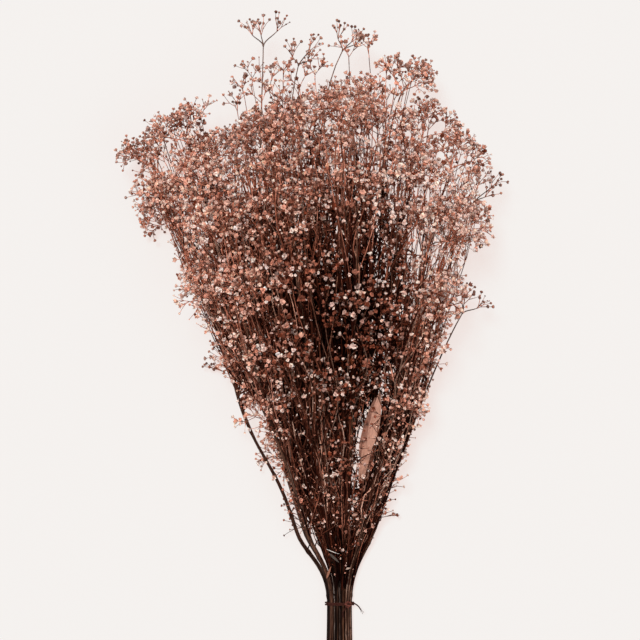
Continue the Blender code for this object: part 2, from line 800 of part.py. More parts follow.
def make_leaf(leaf, name, collection):
    """A narrow dry leaf: a diamond section that widens and then runs out to a point."""
    start, heading, flat = leaf
    up = flat.cross(heading).normalized()
    builder = Builder()
    rings = []
    for share, width in LEAF_SHAPE:
        centre = start + heading * LEAF_LENGTH * share - up * LEAF_DROOP * share * share
        wide = flat * LEAF_HALF_WIDTH * width
        thick = up * LEAF_HALF_THICKNESS
        rings.append(builder.ring([centre + wide, centre - thick, centre - wide, centre + thick]))
    builder.faces.append(tuple(reversed(rings[0])))
    for low, high in zip(rings, rings[1:]):
        builder.bridge(low, high)
    tip = builder.ring([start + heading * LEAF_LENGTH - up * LEAF_DROOP])[0]
    for i in range(4):
        builder.faces.append((rings[-1][i], rings[-1][(i + 1) % 4], tip))
    return builder.make(name, collection)


def join_all(base, others):
    """One union of the base object with a collection's objects, applied; they are then removed."""
    union = base.modifiers.new("join", "BOOLEAN")
    union.operation = "UNION"
    union.operand_type = "COLLECTION"
    union.collection = others
    for solver in ("EXACT", "MANIFOLD"):
        union.solver = solver
        bpy.context.view_layer.update()
        graph = bpy.context.evaluated_depsgraph_get()
        joined = bpy.data.meshes.new_from_object(base.evaluated_get(graph))
        if is_closed(joined):
            break
    base.modifiers.clear()
    base.data = joined
    for item in list(others.objects):
        bpy.data.objects.remove(item, do_unlink=True)
    bpy.data.collections.remove(others)


def is_closed(mesh):
    """Whether every edge of a mesh has two faces."""
    uses = {}
    for face in mesh.polygons:
        for key in face.edge_keys:
            uses[key] = uses.get(key, 0) + 1
    return all(count == 2 for count in uses.values())


def make_material(name, colour, roughness):
    """A Principled material."""
    material = bpy.data.materials.new(name)
    material.use_nodes = True
    shader = material.node_tree.nodes["Principled BSDF"]
    shader.inputs["Base Color"].default_value = colour
    shader.inputs["Roughness"].default_value = roughness
    shader.inputs["Metallic"].default_value = 0.0
    material.diffuse_color = colour
    return material


def build_stem(stem):
    """The node of one stem."""
    scene = bpy.context.scene.collection
    name = "stem_%02d" % stem.number
    builder = Builder()
    add_tube(builder, stem.axis, stem.radii, 5)
    base = builder.make(name, scene)
    others = bpy.data.collections.new(name + "_growth")
    scene.children.link(others)
    for number, spray in enumerate(stem.sprays):
        make_spray(spray, "%s_spray_%d" % (name, number), others)
    if stem.leaf:
        make_leaf(stem.leaf, name + "_leaf", others)
    join_all(base, others)
    tint = STEM_TINTS[stem.number % len(STEM_TINTS)]
    colour = tuple(value * tint for value in STEM_COLOUR[:3]) + (1.0,)
    base.data.materials.clear()
    base.data.materials.append(make_material(name + "_dry_stem", colour, STEM_ROUGHNESS))
    return base


def thread_route(stems):
    """The closed route of the thread round the packed stems, anticlockwise seen from the cut ends."""
    stand_off = TOUCHING_GAP + THREAD_RADIUS
    route = []
    for step in range(THREAD_STEPS):
        angle = FULL_TURN * step / THREAD_STEPS
        away = Vector((math.cos(angle), 0.0, math.sin(angle)))
        far = max(stems, key=lambda stem: stem.at(0.0).dot(away) + stem.radius)
        route.append(far.at(0.0) + away * (STEM_RADIUS + stand_off))
    return route


def build_thread(stems):
    """The node of the thread: two turns side by side, with a knot and two tails."""
    scene = bpy.context.scene.collection
    route = thread_route(stems)
    middle = sum(route, Vector()) / len(route)
    along = Vector((0.0, 1.0, 0.0))
    builder = Builder()
    rings = []
    for i, point in enumerate(route):
        tangent = (route[(i + 1) % len(route)] - route[i - 1]).normalized()
        away = tangent.cross(along).normalized()
        if away.dot(point - middle) < 0.0:
            away.negate()
        rings.append(builder.ring([point + away * THREAD_RADIUS * out + along * THREAD_HALF_WIDTH * side
                                   for out, side in THREAD_SECTION]))
    for i, ring in enumerate(rings):
        builder.bridge(rings[i - 1], ring)
    thread = builder.make("binding_thread", scene)

    knot_at = max(route, key=lambda point: point.z + KNOT_LEAN * point.x)
    others = bpy.data.collections.new("thread_knot")
    scene.children.link(others)
    for number, (reach, width) in enumerate(KNOT_LUMPS):
        make_lump(knot_at + Vector(reach), Vector(width), "knot_lump_%d" % number, others)
    for number, tail in enumerate(KNOT_TAILS):
        builder = Builder()
        path = [knot_at + Vector(step) for step in tail]
        add_tube(builder, path, [THREAD_RADIUS * share for share in TAIL_RADII], 4)
        builder.make("knot_tail_%d" % number, others)
    join_all(thread, others)
    thread.data.materials.clear()
    thread.data.materials.append(make_material("thread_fibre", THREAD_COLOUR, THREAD_ROUGHNESS))
    return thread


def make_lump(centre, half_sizes, name, collection):
    """A small six-sided lump of the knot, lying along X."""
    builder = Builder()
    rings = []
    for share, width in LUMP_RINGS:
        ring = []
        for i in range(6):
            angle = -math.pi * i / 3.0
            push = Vector((share, width * math.cos(angle), width * math.sin(angle)))
            ring.append(centre + Vector([push[k] * half_sizes[k] for k in range(3)]))
        rings.append(builder.ring(ring))
    low = builder.ring([centre - Vector((half_sizes.x, 0.0, 0.0))])[0]
    high = builder.ring([centre + Vector((half_sizes.x, 0.0, 0.0))])[0]
    for i in range(6):
        j = (i + 1) % 6
        builder.faces.append((low, rings[0][i], rings[0][j]))
        builder.faces.append((high, rings[-1][j], rings[-1][i]))
    for below, above in zip(rings, rings[1:]):
        builder.bridge(above, below)
    return builder.make(name, collection)


def stand_on_origin(nodes):
    """Moves every node so that the bottom centre of the whole box is the origin."""
    low = Vector((math.inf, math.inf, math.inf))
    high = -low
    for node in nodes:
        for vertex in node.data.vertices:
            for k in range(3):
                low[k] = min(low[k], vertex.co[k])
                high[k] = max(high[k], vertex.co[k])
    shift = Vector((-0.5 * (low.x + high.x), -0.5 * (low.y + high.y), -low.z))
    for node in nodes:
        node.data.transform(Matrix.Translation(shift))
        node.data.update()


def main():
    """Clears the scene, lays the bunch out, builds every node and sets the origin."""
    for item in list(bpy.data.objects):
        bpy.data.objects.remove(item, do_unlink=True)
    stems = lay_out_bunch()
    nodes = [build_stem(stem) for stem in stems]
    nodes.append(build_thread(stems))
    stand_on_origin(nodes)


main()
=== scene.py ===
"""A dried gypsophila bunch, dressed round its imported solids.

Thirteen branching stems lie in a fan, held at the neck by a thread. The bunch is laid out in its own
frame, with the thread's middle over the zero point and +Y towards the heads, and is then shifted to
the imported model's frame. The layout gives every stem its axis and its sprays. The fine growth adds
cymes to the sprays, and strands with cymes of their own: sprigs between the sprays, long runners over
the head, strands at the neck, the rim and the sides, and bare dark ones with a thicket inside. Each
stem gets a piece of wood and a piece of florets, some get dry leaves, and the thread gets its turns
and its knot.
"""

import functools
import math
import random

import bpy
import numpy as np
from bpy.props import FloatProperty, FloatVectorProperty, PointerProperty
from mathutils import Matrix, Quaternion, Vector


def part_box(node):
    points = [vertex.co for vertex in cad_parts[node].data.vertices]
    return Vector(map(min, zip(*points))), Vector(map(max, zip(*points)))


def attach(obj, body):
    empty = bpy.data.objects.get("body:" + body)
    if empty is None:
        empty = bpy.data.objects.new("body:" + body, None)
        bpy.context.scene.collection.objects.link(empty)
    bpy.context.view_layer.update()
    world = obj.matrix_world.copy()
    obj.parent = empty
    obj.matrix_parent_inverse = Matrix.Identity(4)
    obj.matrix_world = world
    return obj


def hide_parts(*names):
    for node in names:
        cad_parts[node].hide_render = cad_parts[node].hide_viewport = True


bl_info = {
    "name": "Dried Gypsophila Bunch",
    "version": (1, 0, 0),
    "blender": (4, 5, 0),
    "location": "View3D > Sidebar > Dried Bunch",
    "description": "A tied bunch of dried gypsophila: stems, twigs, florets, leaves and thread",
    "category": "Add Mesh",
}

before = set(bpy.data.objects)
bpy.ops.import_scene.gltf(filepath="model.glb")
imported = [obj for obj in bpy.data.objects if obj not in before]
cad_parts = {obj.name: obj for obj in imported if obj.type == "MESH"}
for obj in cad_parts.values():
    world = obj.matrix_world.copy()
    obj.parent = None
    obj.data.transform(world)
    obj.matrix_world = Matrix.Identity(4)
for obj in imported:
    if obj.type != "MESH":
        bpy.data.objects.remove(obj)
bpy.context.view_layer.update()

SEED = 11
TOUCHING_GAP = 0.0003
FAR_ENOUGH = 0.003
FULL_TURN = 2.0 * math.pi
UP = Vector((0.0, 0.0, 1.0))

# The neck, where the thread holds the stems
STEM_RADIUS = 0.0022
STEM_TIP_RADIUS = 0.0011
STEM_SPACING = 0.00475
ROW_RISE = 0.00415
NECK_SPLAY = 8.0
CUT_END = -0.095
CUT_END_STAGGER = 0.007
CUT_END_SPLAY = 0.10
CUT_END_SINKS_OVER = 0.07
THREAD_RADIUS = 0.0008
THREAD_HALF_WIDTH = 0.0017
THREAD_RISE = 2 * THREAD_RADIUS + TOUCHING_GAP
THREAD_STEPS = 20
KNOT_LEAN = 0.35
# The knot's tails as points from the thread's crossing
KNOT_TAILS = (
    ((0.0, 0.0, 0.0006), (0.0042, 0.0012, 0.0016), (0.0085, -0.0012, 0.0012), (0.0115, -0.0052, -0.0006)),
    ((0.0, 0.0, 0.0006), (-0.003, -0.0036, 0.0022), (-0.0052, -0.0082, 0.0024), (-0.0042, -0.0125, 0.0016)),
)

# Rows of stems from the underside up: layer, how many, and how far across they spread
STEM_ROWS = ((-0.62, 4, 0.74), (0.0, 5, 0.92), (0.62, 4, 0.68))

# An axis: how it varies, its rings out to the first bough, and how it passes from neck to fan
RADIUS_SHARES = (0.86, 1.0)
TIP_SHARES = (0.66, 0.76)
SWAY_SIZE = 0.0045
SWAY_WAVES = (22.5, 37.5)
SWAY_PHASES = (0.0, 6.3)
SWAY_FROM = 0.04
SWAY_GROWS_OVER = 0.12
NECK_RINGS = (-0.045, -0.008, 0.008, 0.028, 0.052, 0.085, 0.125)
HEAD_RINGS = 5
FAN_FROM = 0.002
FAN_OPENS_OVER = 0.070

# The fan that the head opens into
APEX_BEHIND_THREAD = 0.033
FAN_MIDDLE = math.radians(-2.2)
FAN_HALF = math.radians(21.3)
NECK_HALF_THICKNESS = 0.0064
HEAD_HALF_THICKNESS = 0.072
FULL_THICKNESS_AT = 0.37
BLUNT_SIDES = 0.72
LOW_SIDES = 0.12

# How far the head reaches from the apex, in metres, at each angle across in degrees
REACH_ANGLES = (-27.0, -24.0, -20.0, -16.5, -14.5, -12.4, -10.4, -4.0,
                2.4, 6.0, 8.5, 10.0, 12.5, 15.0, 19.5)
REACH = (0.420, 0.486, 0.500, 0.500, 0.478, 0.470, 0.484, 0.500,
         0.518, 0.528, 0.512, 0.490, 0.484, 0.448, 0.432)

# Sprays that make the outline, each with its hub, its heading across in degrees and its size
KEY_SPRAYS = (
    ((-0.0685, 0.506, 0.086), 0.0, 0.76),
    ((-0.0400, 0.492, 0.108), 2.0, 0.64),
    ((-0.0060, 0.498, 0.094), 12.0, 0.64),
    ((0.119, 0.366, 0.064), 22.0, 0.92),
    ((0.112, 0.266, 0.054), 14.0, 0.76),
    ((-0.163, 0.394, 0.056), -30.0, 0.92),
    ((-0.148, 0.350, 0.040), -48.0, 0.92),
    ((-0.143, 0.411, 0.074), -12.0, 0.90),
    ((-0.108, 0.402, 0.052), -8.0, 0.90),
    ((0.053, 0.462, 0.082), 8.0, 0.95),
    ((0.073, 0.425, 0.058), 20.0, 0.95),
    ((0.088, 0.386, 0.092), 20.0, 0.95),
    ((-0.097, 0.216, 0.030), -34.0, 0.68),
)

# How far florets may lie outside the outline: key sprays, those at the stems' tips, and the rest
KEY_SLACK = 0.100
TIP_SLACK = 0.010
MASS_SLACK = 0.003

# Sprays, from the fork where three twigs part to the florets
SPRAY_COUNT = 40
SPRAY_START = 0.148
FORK_HALF_ANGLE = (36.0, 50.0)
TWIG_LENGTH = (0.016, 0.026)
PEDICEL_HALF_ANGLE = (34.0, 56.0)
PEDICEL_LENGTH = (0.010, 0.0155)
FLORET_RADIUS = 0.0062
FLORET_DEPTH = 0.0068
FLORET_BALL = 0.0066
FLORET_BALL_AT = 0.75
FLORET_OFF_GROUND = 0.0008
LEVEL_WITHIN = 0.003
BOUGH_RADIUS = 0.00125
BOUGH_END_RADIUS = 0.00090
TWIG_RADIUS = 0.00080
LOWEST_HUB = 0.0135
PRESSED_UNDER = 0.024
PRESSED_AT = 0.45
SHARPEST_TURN = 0.25
LEAVE_SPACING = 0.007
FEWEST_FLORETS = 5
TRIES = 100
HUB_SHIFTS = (0.002, 0.012)

# Where boughs leave their axis: shares of the stem's length, or of the way out to the hub
TIP_LEAVES = (0.88, 0.97)
SIDE_LEAVES = (0.22, 0.60)
BOUGH_START_ALONG_AXIS = 0.8
BOUGH_START_PULL = 0.9
BOUGH_END_PULL = 0.7

# How a spray's heading turns outward, up or down, and at random
FACES_OUT = 0.35
FACES_WITH_LAYER = 0.62
FACES_UP = 0.10
FACES_RANDOM = 0.16

# Where the hubs of the sprays may stand, and how they are spread
HUB_ACROSS = 0.96
HUB_LAYERS = (-0.86, 0.90)
HUB_INSIDE_REACH = 0.030
HUB_DRAWS = 60
TIP_HUB = (0.97, 0.9, 0.046)
TIP_SPRAY_SIZE = 0.95
STEMS_TRIED = 3
LOAD_COST = 0.0045
BRANCH_POINT_SHARE = 0.8
FLORETS_APART = 0.016

LEAF_LENGTH = 0.019
LEAF_HALF_WIDTH = 0.0016
LEAF_OUT = (0.055, 0.150)
LEAF_LEAN = (0.35, 0.7)
LEAF_CLEAR_FROM = 2.5
LEAF_OFF_GROUND = 0.003
LEAF_DRAWS = 30
EVERY_NTH_HAS_LEAF = 3

# Sprays that stand apart from the mass, and how many make the outline, by their order of placing
SPARSE_SPRAYS = (0, 1, 2, 3, 4, 12)
OUTLINE_SPRAYS = 13

# A cyme: its internodes and pedicels, the half angles of its forks, and its first length
INTERNODES = (0.0066, 0.0052, 0.0040)
LAST_PEDICEL = 0.0040
TERMINAL_PEDICEL = 0.0046
FORK_ANGLES = (0.42, 0.78)
NARROW_FORKS = (0.22, 0.50)
SPRAY_CYME_FOOT = (0.003, 0.0075)
STRAND_CYME_FOOT = (0.003, 0.007)
INTERNODE_RADIUS = 0.00040
FINE_PEDICEL_RADIUS = 0.00026

# The cymes of a spray: levels of forks, how open the florets are, how far the twigs turn to the
# spray's facing, half angles of the forks, and how long the parts are
SPRAY_FORMS = {
    "sparse": (1, 0.10, 0.50, NARROW_FORKS, 0.90),
    "outline": (3, 0.35, 0.25, FORK_ANGLES, 0.80),
    "mass": (3, 0.72, 0.00, FORK_ANGLES, 1.00),
}

# Heights that the fine growth keeps to
LOWEST_PETAL = 0.0002
LOWEST_FLORET = 0.0012
LOWEST_TWIG = 0.0013
HIGHEST_FLORET = 0.1675
HIGHEST_THICKET = HIGHEST_FLORET - 0.014

# Strands: how many to a spray or a stem, and their rings, sides, radii and sway as a share of their span
STRANDS_PER_SPRAY = 5
SPRIGS_PER_STEM = 36
RUNNERS_PER_STEM = 9
NECK_PER_STEM = 6
RIM_PER_STEM = 14
SIDES_PER_STEM = 22
GROUND_PER_STEM = 34
BOUGH_RINGS = 20
TWIG_RINGS = 7
STRAND_RINGS = 18
SPRAY_STRAND_RINGS = 10
NECK_STRAND_RINGS = 14
SHORT_STRAND_RINGS = 9
TUFT_RINGS = 8
GROUND_RINGS = 12
STRAND_SIDES = 3
STRAND_RADII = (0.00075, 0.00036)
GROUND_RADII = (0.00095, 0.00062)
STRAND_SWAY = 0.040
STRAND_LIMIT = 0.95
STRAND_OPENNESS = 0.80

# Where sprigs, and strands at the sides, end and leave their axis
SPRIG_ACROSS = 0.30
SPRIG_LAYER = 0.40
SPRIG_DISTANCES = (0.105, 0.445)
SPRIG_LEAVES = (0.012, 0.11)
SIDE_FROM = 0.55
SIDE_ACROSS = (0.62, 0.94)
SIDE_DISTANCES = (0.17, 0.37)
RIGHT_SIDE_STARTS_SOONER = 0.06

# Side twigs along strands, with where few of them grow: how low and how far to the sides
BITS_PER_STRAND = 5.5
BIT_LENGTHS = (0.003, 0.0095)
FEW_BITS_BELOW = (0.20, 0.06)
FEW_BITS_PAST = (0.66, 0.14)
FEW_SIDE_BITS_BELOW = (0.28, 0.06)

# Bare twigs between the strands inside the head
THICKET_PER_STRAND = 9.0
THICKET_LENGTHS = (0.012, 0.040)
THICKET_RADII = (0.00090, 0.00050)
THICKET_LIMIT = 0.80

# Florets: the share of tiny and big ones and their sizes, and their growth from low to high
TINY_FLORETS = 0.30
TINY_IN_SPARSE = 0.10
TINY_SCALE = 0.60
BIG_FLORETS = 0.12
BIG_SCALE = 1.32
FLORET_SCALES = (0.78, 1.18)
FULL_SIZE_FROM = (0.12, 0.14)

# Tufts seen apart from the mass: above the head's left shoulder, and at the foot of its sides
HIGH_TUFTS = (
    (-0.0855, 0.459, 0.085), (-0.0790, 0.474, 0.070), (-0.0700, 0.450, 0.100), (-0.0630, 0.464, 0.090),
    (-0.0510, 0.474, 0.080), (-0.0360, 0.466, 0.100), (-0.0920, 0.445, 0.070), (-0.0225, 0.476, 0.090),
    (-0.0560, 0.450, 0.110), (0.0080, 0.490, 0.090), (0.0260, 0.496, 0.085), (-0.1240, 0.438, 0.080),
)
LOW_TUFTS = (
    (0.0135, 0.072, 0.034), (0.0155, 0.061, 0.032), (0.0115, 0.083, 0.038), (0.0065, 0.040, 0.031),
    (0.0200, 0.090, 0.036), (0.0230, 0.101, 0.034), (0.0275, 0.113, 0.038), (0.0185, 0.078, 0.030),
    (-0.0300, 0.100, 0.036), (-0.0360, 0.116, 0.040), (-0.0250, 0.084, 0.034), (-0.0150, 0.060, 0.033),
    (-0.0440, 0.132, 0.040), (0.0340, 0.128, 0.040), (0.0040, 0.060, 0.036), (-0.0050, 0.090, 0.042),
)

# The outermost stem on the left: how far its strands leave out, and how far the others keep off it
BARE_SIDE = 0.215
BARE_SIDE_ACROSS = (0.6, 0.3)
LEFT_GAP = 0.30
LEFT_GAP_ENDS = (0.27, 0.06)
LEFT_GAP_STARTS = (0.05, 0.04)

# The parting low on the right: its half width, middle and lean across the fan, place and length out
PARTING_HALF = 0.115
PARTING_ACROSS = 0.475
PARTING_LEAN = 2.2
PARTING_AT = 0.190
PARTING_LENGTH = 0.050

# An axis: its rings, swollen nodes and tip
NODE_SPACING = (0.034, 0.058)
NODE_HALF_LENGTH = 0.0019
NODE_SWELL = 0.34
NODE_RINGS = (-0.0034, -0.0018, -0.0008, 0.0, 0.0008, 0.0018, 0.0034)
AXIS_STEP = 0.0060
AXIS_TIP_RADIUS = 0.00055
AXIS_SIDES = 14
STUBS_BETWEEN = (-0.06, 0.16)
STUB_LENGTHS = (0.0036, 0.0085)
STUB_RADII = (0.00085, 0.00070, 0.00060, 0.00052)

# A floret from bud to open: height, radius, lobe height and lobe width of its two rings
BUD_RINGS = ((0.98, 0.84, 0.03, 0.03), (1.60, 0.54, 0.05, 0.08))
OPEN_RINGS = ((0.96, 1.03, 0.22, 0.14), (1.32, 0.58, -0.30, -0.18))
BUD_CENTRE = 1.78
OPEN_CENTRE = 1.02
FLORET_SIDES = 6
TINY_SIDES = 4
FLORET_ROUGH = 0.09

# Regions in plan: the dark heart, darker both in colour and in painted shade, and the pale shoulder, as
# middles and half sizes; and ramps as where they end or start and over how far: the way down to the neck,
# the head's edge, where that begins above the neck, and the depth under the top layer, which deepens the
# painted shade
HEART_MIDDLE = (0.010, 0.222)
HEART_HALF_SIZES = (0.082, 0.150)
SHOULDER_MIDDLE = (0.092, 0.360)
SHOULDER_HALF_SIZES = (0.050, 0.080)
DARK_BELOW = (0.27, 0.16)
EDGE_PAST = (0.50, 0.38)
EDGE_ABOVE = (0.06, 0.06)
DEEP_UNDER = (0.62, 1.0)

# Waves of painted light and shade: their way round, radians to the metre, and phase
PATCH_WAVES = ((0.3, 150.0, 0.4), (1.1, 225.0, 2.2), (1.9, 180.0, 4.0), (2.7, 290.0, 1.1), (0.8, 95.0, 5.2))

# Powers of the light for red, green and blue, on petals and on wood
PETAL_LIGHT = (1.0, 1.35, 1.50)
WOOD_LIGHT = (1.0, 1.45, 1.70)

# Wood: colours an axis may have, the painted light added to one that stands alone and where, the share of
# pale strands by kind, and ramps for strands low down, darker in colour and in painted shade, and for
# painted shade at the neck and high up
AXIS_COLOURS = ((0.010, 0.0028, 0.0012), (0.020, 0.0100, 0.0070), (0.030, 0.0095, 0.0048),
                (0.007, 0.0020, 0.0009), (0.040, 0.016, 0.0095))
# Painted light for an axis that stands alone at the side
LONE_AXIS_LIGHT = (0.032, 0.0125, 0.0075)
LONE_PAST = (0.62, 0.2)
LONE_ABOVE = (0.02, 0.06)
PALE_STRANDS = {"bough": 0.10, "strand": 0.14, "ground": 0.03, "twig": 0.12, "pedicel": 0.22, "bare": 0.0}
DARK_STRANDS_BELOW = (0.30, 0.14)
NECK_BELOW = (0.085, 0.06)
HIGH_FROM = (0.21, 0.05)
BRIGHTEST_STRAND = 5.0

# Florets: ramps for those low down, paler and with a little more painted light, and for those near the
# head's rim
LOW_BELOW = (0.24, 0.08)
RIM_WITHIN = 0.034
RIM_OVER = 0.022

# Leaves: the rings and sides of one, how thin and how far off the floor it is, and how far up
# those of the neck point
LEAF_RINGS = 16
LEAF_SIDES = 10
LEAF_THIN = 0.00028
LOWEST_LEAF = 0.0004
NECK_LEAF_RISE = 0.36

# Dry leaves over the neck and in the parting: place in plan and layer, way round from +Y to +X,
# length, half width and colour
NECK_LEAVES = (
    ((-0.0095, 0.0475, 0.95), 2.25, 0.0120, 0.0012, (0.070, 0.056, 0.048)),
    ((-0.0125, 0.0520, 0.97), 2.02, 0.0135, 0.0004, (0.52, 0.48, 0.45)),
    ((0.0110, 0.0830, 0.85), 1.30, 0.0065, 0.0011, (0.40, 0.23, 0.18)),
    ((0.0150, 0.0640, 0.80), 0.50, 0.0070, 0.0013, (0.42, 0.27, 0.21)),
    ((0.0050, 0.0330, 0.90), 1.40, 0.0050, 0.0009, (0.42, 0.31, 0.26)),
    ((-0.0120, 0.0240, 0.80), 0.30, 0.0120, 0.0011, (0.26, 0.115, 0.075)),
    ((0.0180, 0.1120, 0.50), 0.20, 0.0660, 0.0042, (0.51, 0.27, 0.20)),
    ((0.0260, 0.1420, 0.45), 0.24, 0.0580, 0.0047, (0.57, 0.31, 0.235)),
    ((0.0215, 0.1040, 0.30), 0.14, 0.0500, 0.0036, (0.43, 0.21, 0.155)),
    ((0.0185, 0.1360, 0.30), 0.25, 0.0560, 0.0044, (0.39, 0.19, 0.14)),
)

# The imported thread: how far its ring stands proud and its knot reaches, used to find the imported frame
RING_PROUD = 0.8
KNOT_TOP = 0.0023

# The thread's turns, and its knot's loops as middle, half sizes, way they face and lift
TURN_RADIUS = 0.00074
TURN_SIDES = 10
TURN_OFFSET = 0.00092
TURN_LEANS = ((-1.0, 0.00025), (1.0, -0.00022))
TURN_TWISTS = 46
KNOT_LOOPS = (
    ((0.0000, 0.0003, 0.0007), (0.0029, 0.0016), (0.0, 0.25, 1.0), 0.10),
    ((-0.0004, -0.0004, 0.0009), (0.0016, 0.0028), (0.35, 0.0, 1.0), 0.14),
    ((0.0006, 0.0002, 0.0012), (0.0022, 0.0019), (-0.3, -0.2, 1.0), 0.20),
)
KNOT_THREAD_RADIUS = 0.00062
LOOP_STEPS = 72
LOOP_SIDES = 8
LOOP_TWISTS = 9
TAIL_RADII = (0.0007, 0.00055)
TAIL_SIDES = 7
FRAYS = 4
FRAY_LENGTHS = (0.0016, 0.0034)
FRAY_RADIUS = 0.00016

# The photograph's view: straight down, with this width of the bunch's plane across the picture
CAMERA_HEIGHT = 3.0
VIEW_PLANE_HEIGHT = 0.075
VIEW_WIDTH = 0.576
VIEW_MIDDLE = (-0.018, 0.261)
SENSOR = 36.0
FLOOR_HALF = 4.0
# The lamps: name, place from the view's middle, share of the light, and angle
LAMPS = (("overhead", (-0.28, 0.42, 2.0), 0.82, 0.22), ("side", (0.9, -0.5, 1.8), 0.18, 0.7))


def smooth(share):
    """Smooth step from 0 to 1, held outside."""
    share = min(max(share, 0.0), 1.0)
    return share * share * (3.0 - 2.0 * share)


def half_thickness(distance):
    """Half the bunch's height at a distance from the apex."""
    grow = smooth(distance / FULL_THICKNESS_AT)
    return NECK_HALF_THICKNESS + (HEAD_HALF_THICKNESS - NECK_HALF_THICKNESS) * grow


def in_fan(across, layer, distance):
    """The point of the head at these fan coordinates; its section is a lens with blunt sides."""
    angle = FAN_MIDDLE + across * FAN_HALF
    half = half_thickness(distance)
    lens = half * math.sqrt(1.0 - BLUNT_SIDES * min(across * across, 1.0))
    height = THREAD_RISE + half * (1.0 - LOW_SIDES * across * across) + layer * lens
    return Vector((distance * math.sin(angle), distance * math.cos(angle) - APEX_BEHIND_THREAD, height))


def fan_angle_and_distance(point):
    """The plan angle in degrees and the distance of a point, seen from the apex."""
    along = point.y + APEX_BEHIND_THREAD
    return math.degrees(math.atan2(point.x, along)), math.hypot(point.x, along)


def reach_at(angle):
    """How far the head reaches at a plan angle in degrees."""
    return float(np.interp(angle, REACH_ANGLES, REACH))


def past_outline(point):
    """How far a point lies outside the head's outline in plan, in metres; negative inside."""
    angle, distance = fan_angle_and_distance(point)
    middle = math.degrees(FAN_MIDDLE)
    half = math.degrees(FAN_HALF)
    sideways = distance * math.radians(abs(angle - middle) - half)
    return max(sideways, distance - reach_at(angle))


class Capsules:
    """Round-ended rods that stand for what is placed so far, each with the stem that owns it."""

    def __init__(self, room=9000):
        self.start = np.zeros((room, 3))
        self.end = np.zeros((room, 3))
        self.radius = np.zeros(room)
        self.owner = np.zeros(room, dtype=int)
        self.count = 0

    def add(self, rods, owner):
        """Adds rods, each a start, an end and a radius."""
        for start, end, radius in rods:
            self.start[self.count] = start
            self.end[self.count] = end
            self.radius[self.count] = radius
            self.owner[self.count] = owner
            self.count += 1

    def gaps(self, rods, skip=None):
        """The least free distance of each rod from what is placed, without what one owner has."""
        p1, q1, r1 = rod_arrays(rods)
        p2 = self.start[:self.count]
        q2 = self.end[:self.count]
        low = np.minimum(p1, q1).min(axis=0) - r1.max() - FAR_ENOUGH
        high = np.maximum(p1, q1).max(axis=0) + r1.max() + FAR_ENOUGH
        ball = self.radius[:self.count, None]
        near = np.all((np.minimum(p2, q2) - ball < high) & (np.maximum(p2, q2) + ball > low), axis=1)
        if skip is not None:
            near &= self.owner[:self.count] != skip
        if not near.any():
            return np.full(len(rods), FAR_ENOUGH)
        apart = rod_distances(p1, q1, p2[near], q2[near])
        return (apart - r1[:, None] - self.radius[:self.count][near][None, :]).min(axis=1)


def rod_distances(p1, q1, p2, q2):
    """Distances between every segment of one set and every segment of another."""
    d1 = (q1 - p1)[:, None, :]
    d2 = (q2 - p2)[None, :, :]
    r = p1[:, None, :] - p2[None, :, :]
    a = np.maximum((d1 * d1).sum(-1), 1e-12)
    e = np.maximum((d2 * d2).sum(-1), 1e-12)
    b = (d1 * d2).sum(-1)
    c = (d1 * r).sum(-1)
    f = (d2 * r).sum(-1)
    spread = a * e - b * b
    s = np.where(spread > 1e-15, np.clip((b * f - c * e) / np.maximum(spread, 1e-15), 0.0, 1.0), 0.0)
    t = np.clip((b * s + f) / e, 0.0, 1.0)
    s = np.clip((b * t - c) / a, 0.0, 1.0)
    apart = r + s[..., None] * d1 - t[..., None] * d2
    return np.sqrt((apart * apart).sum(-1))


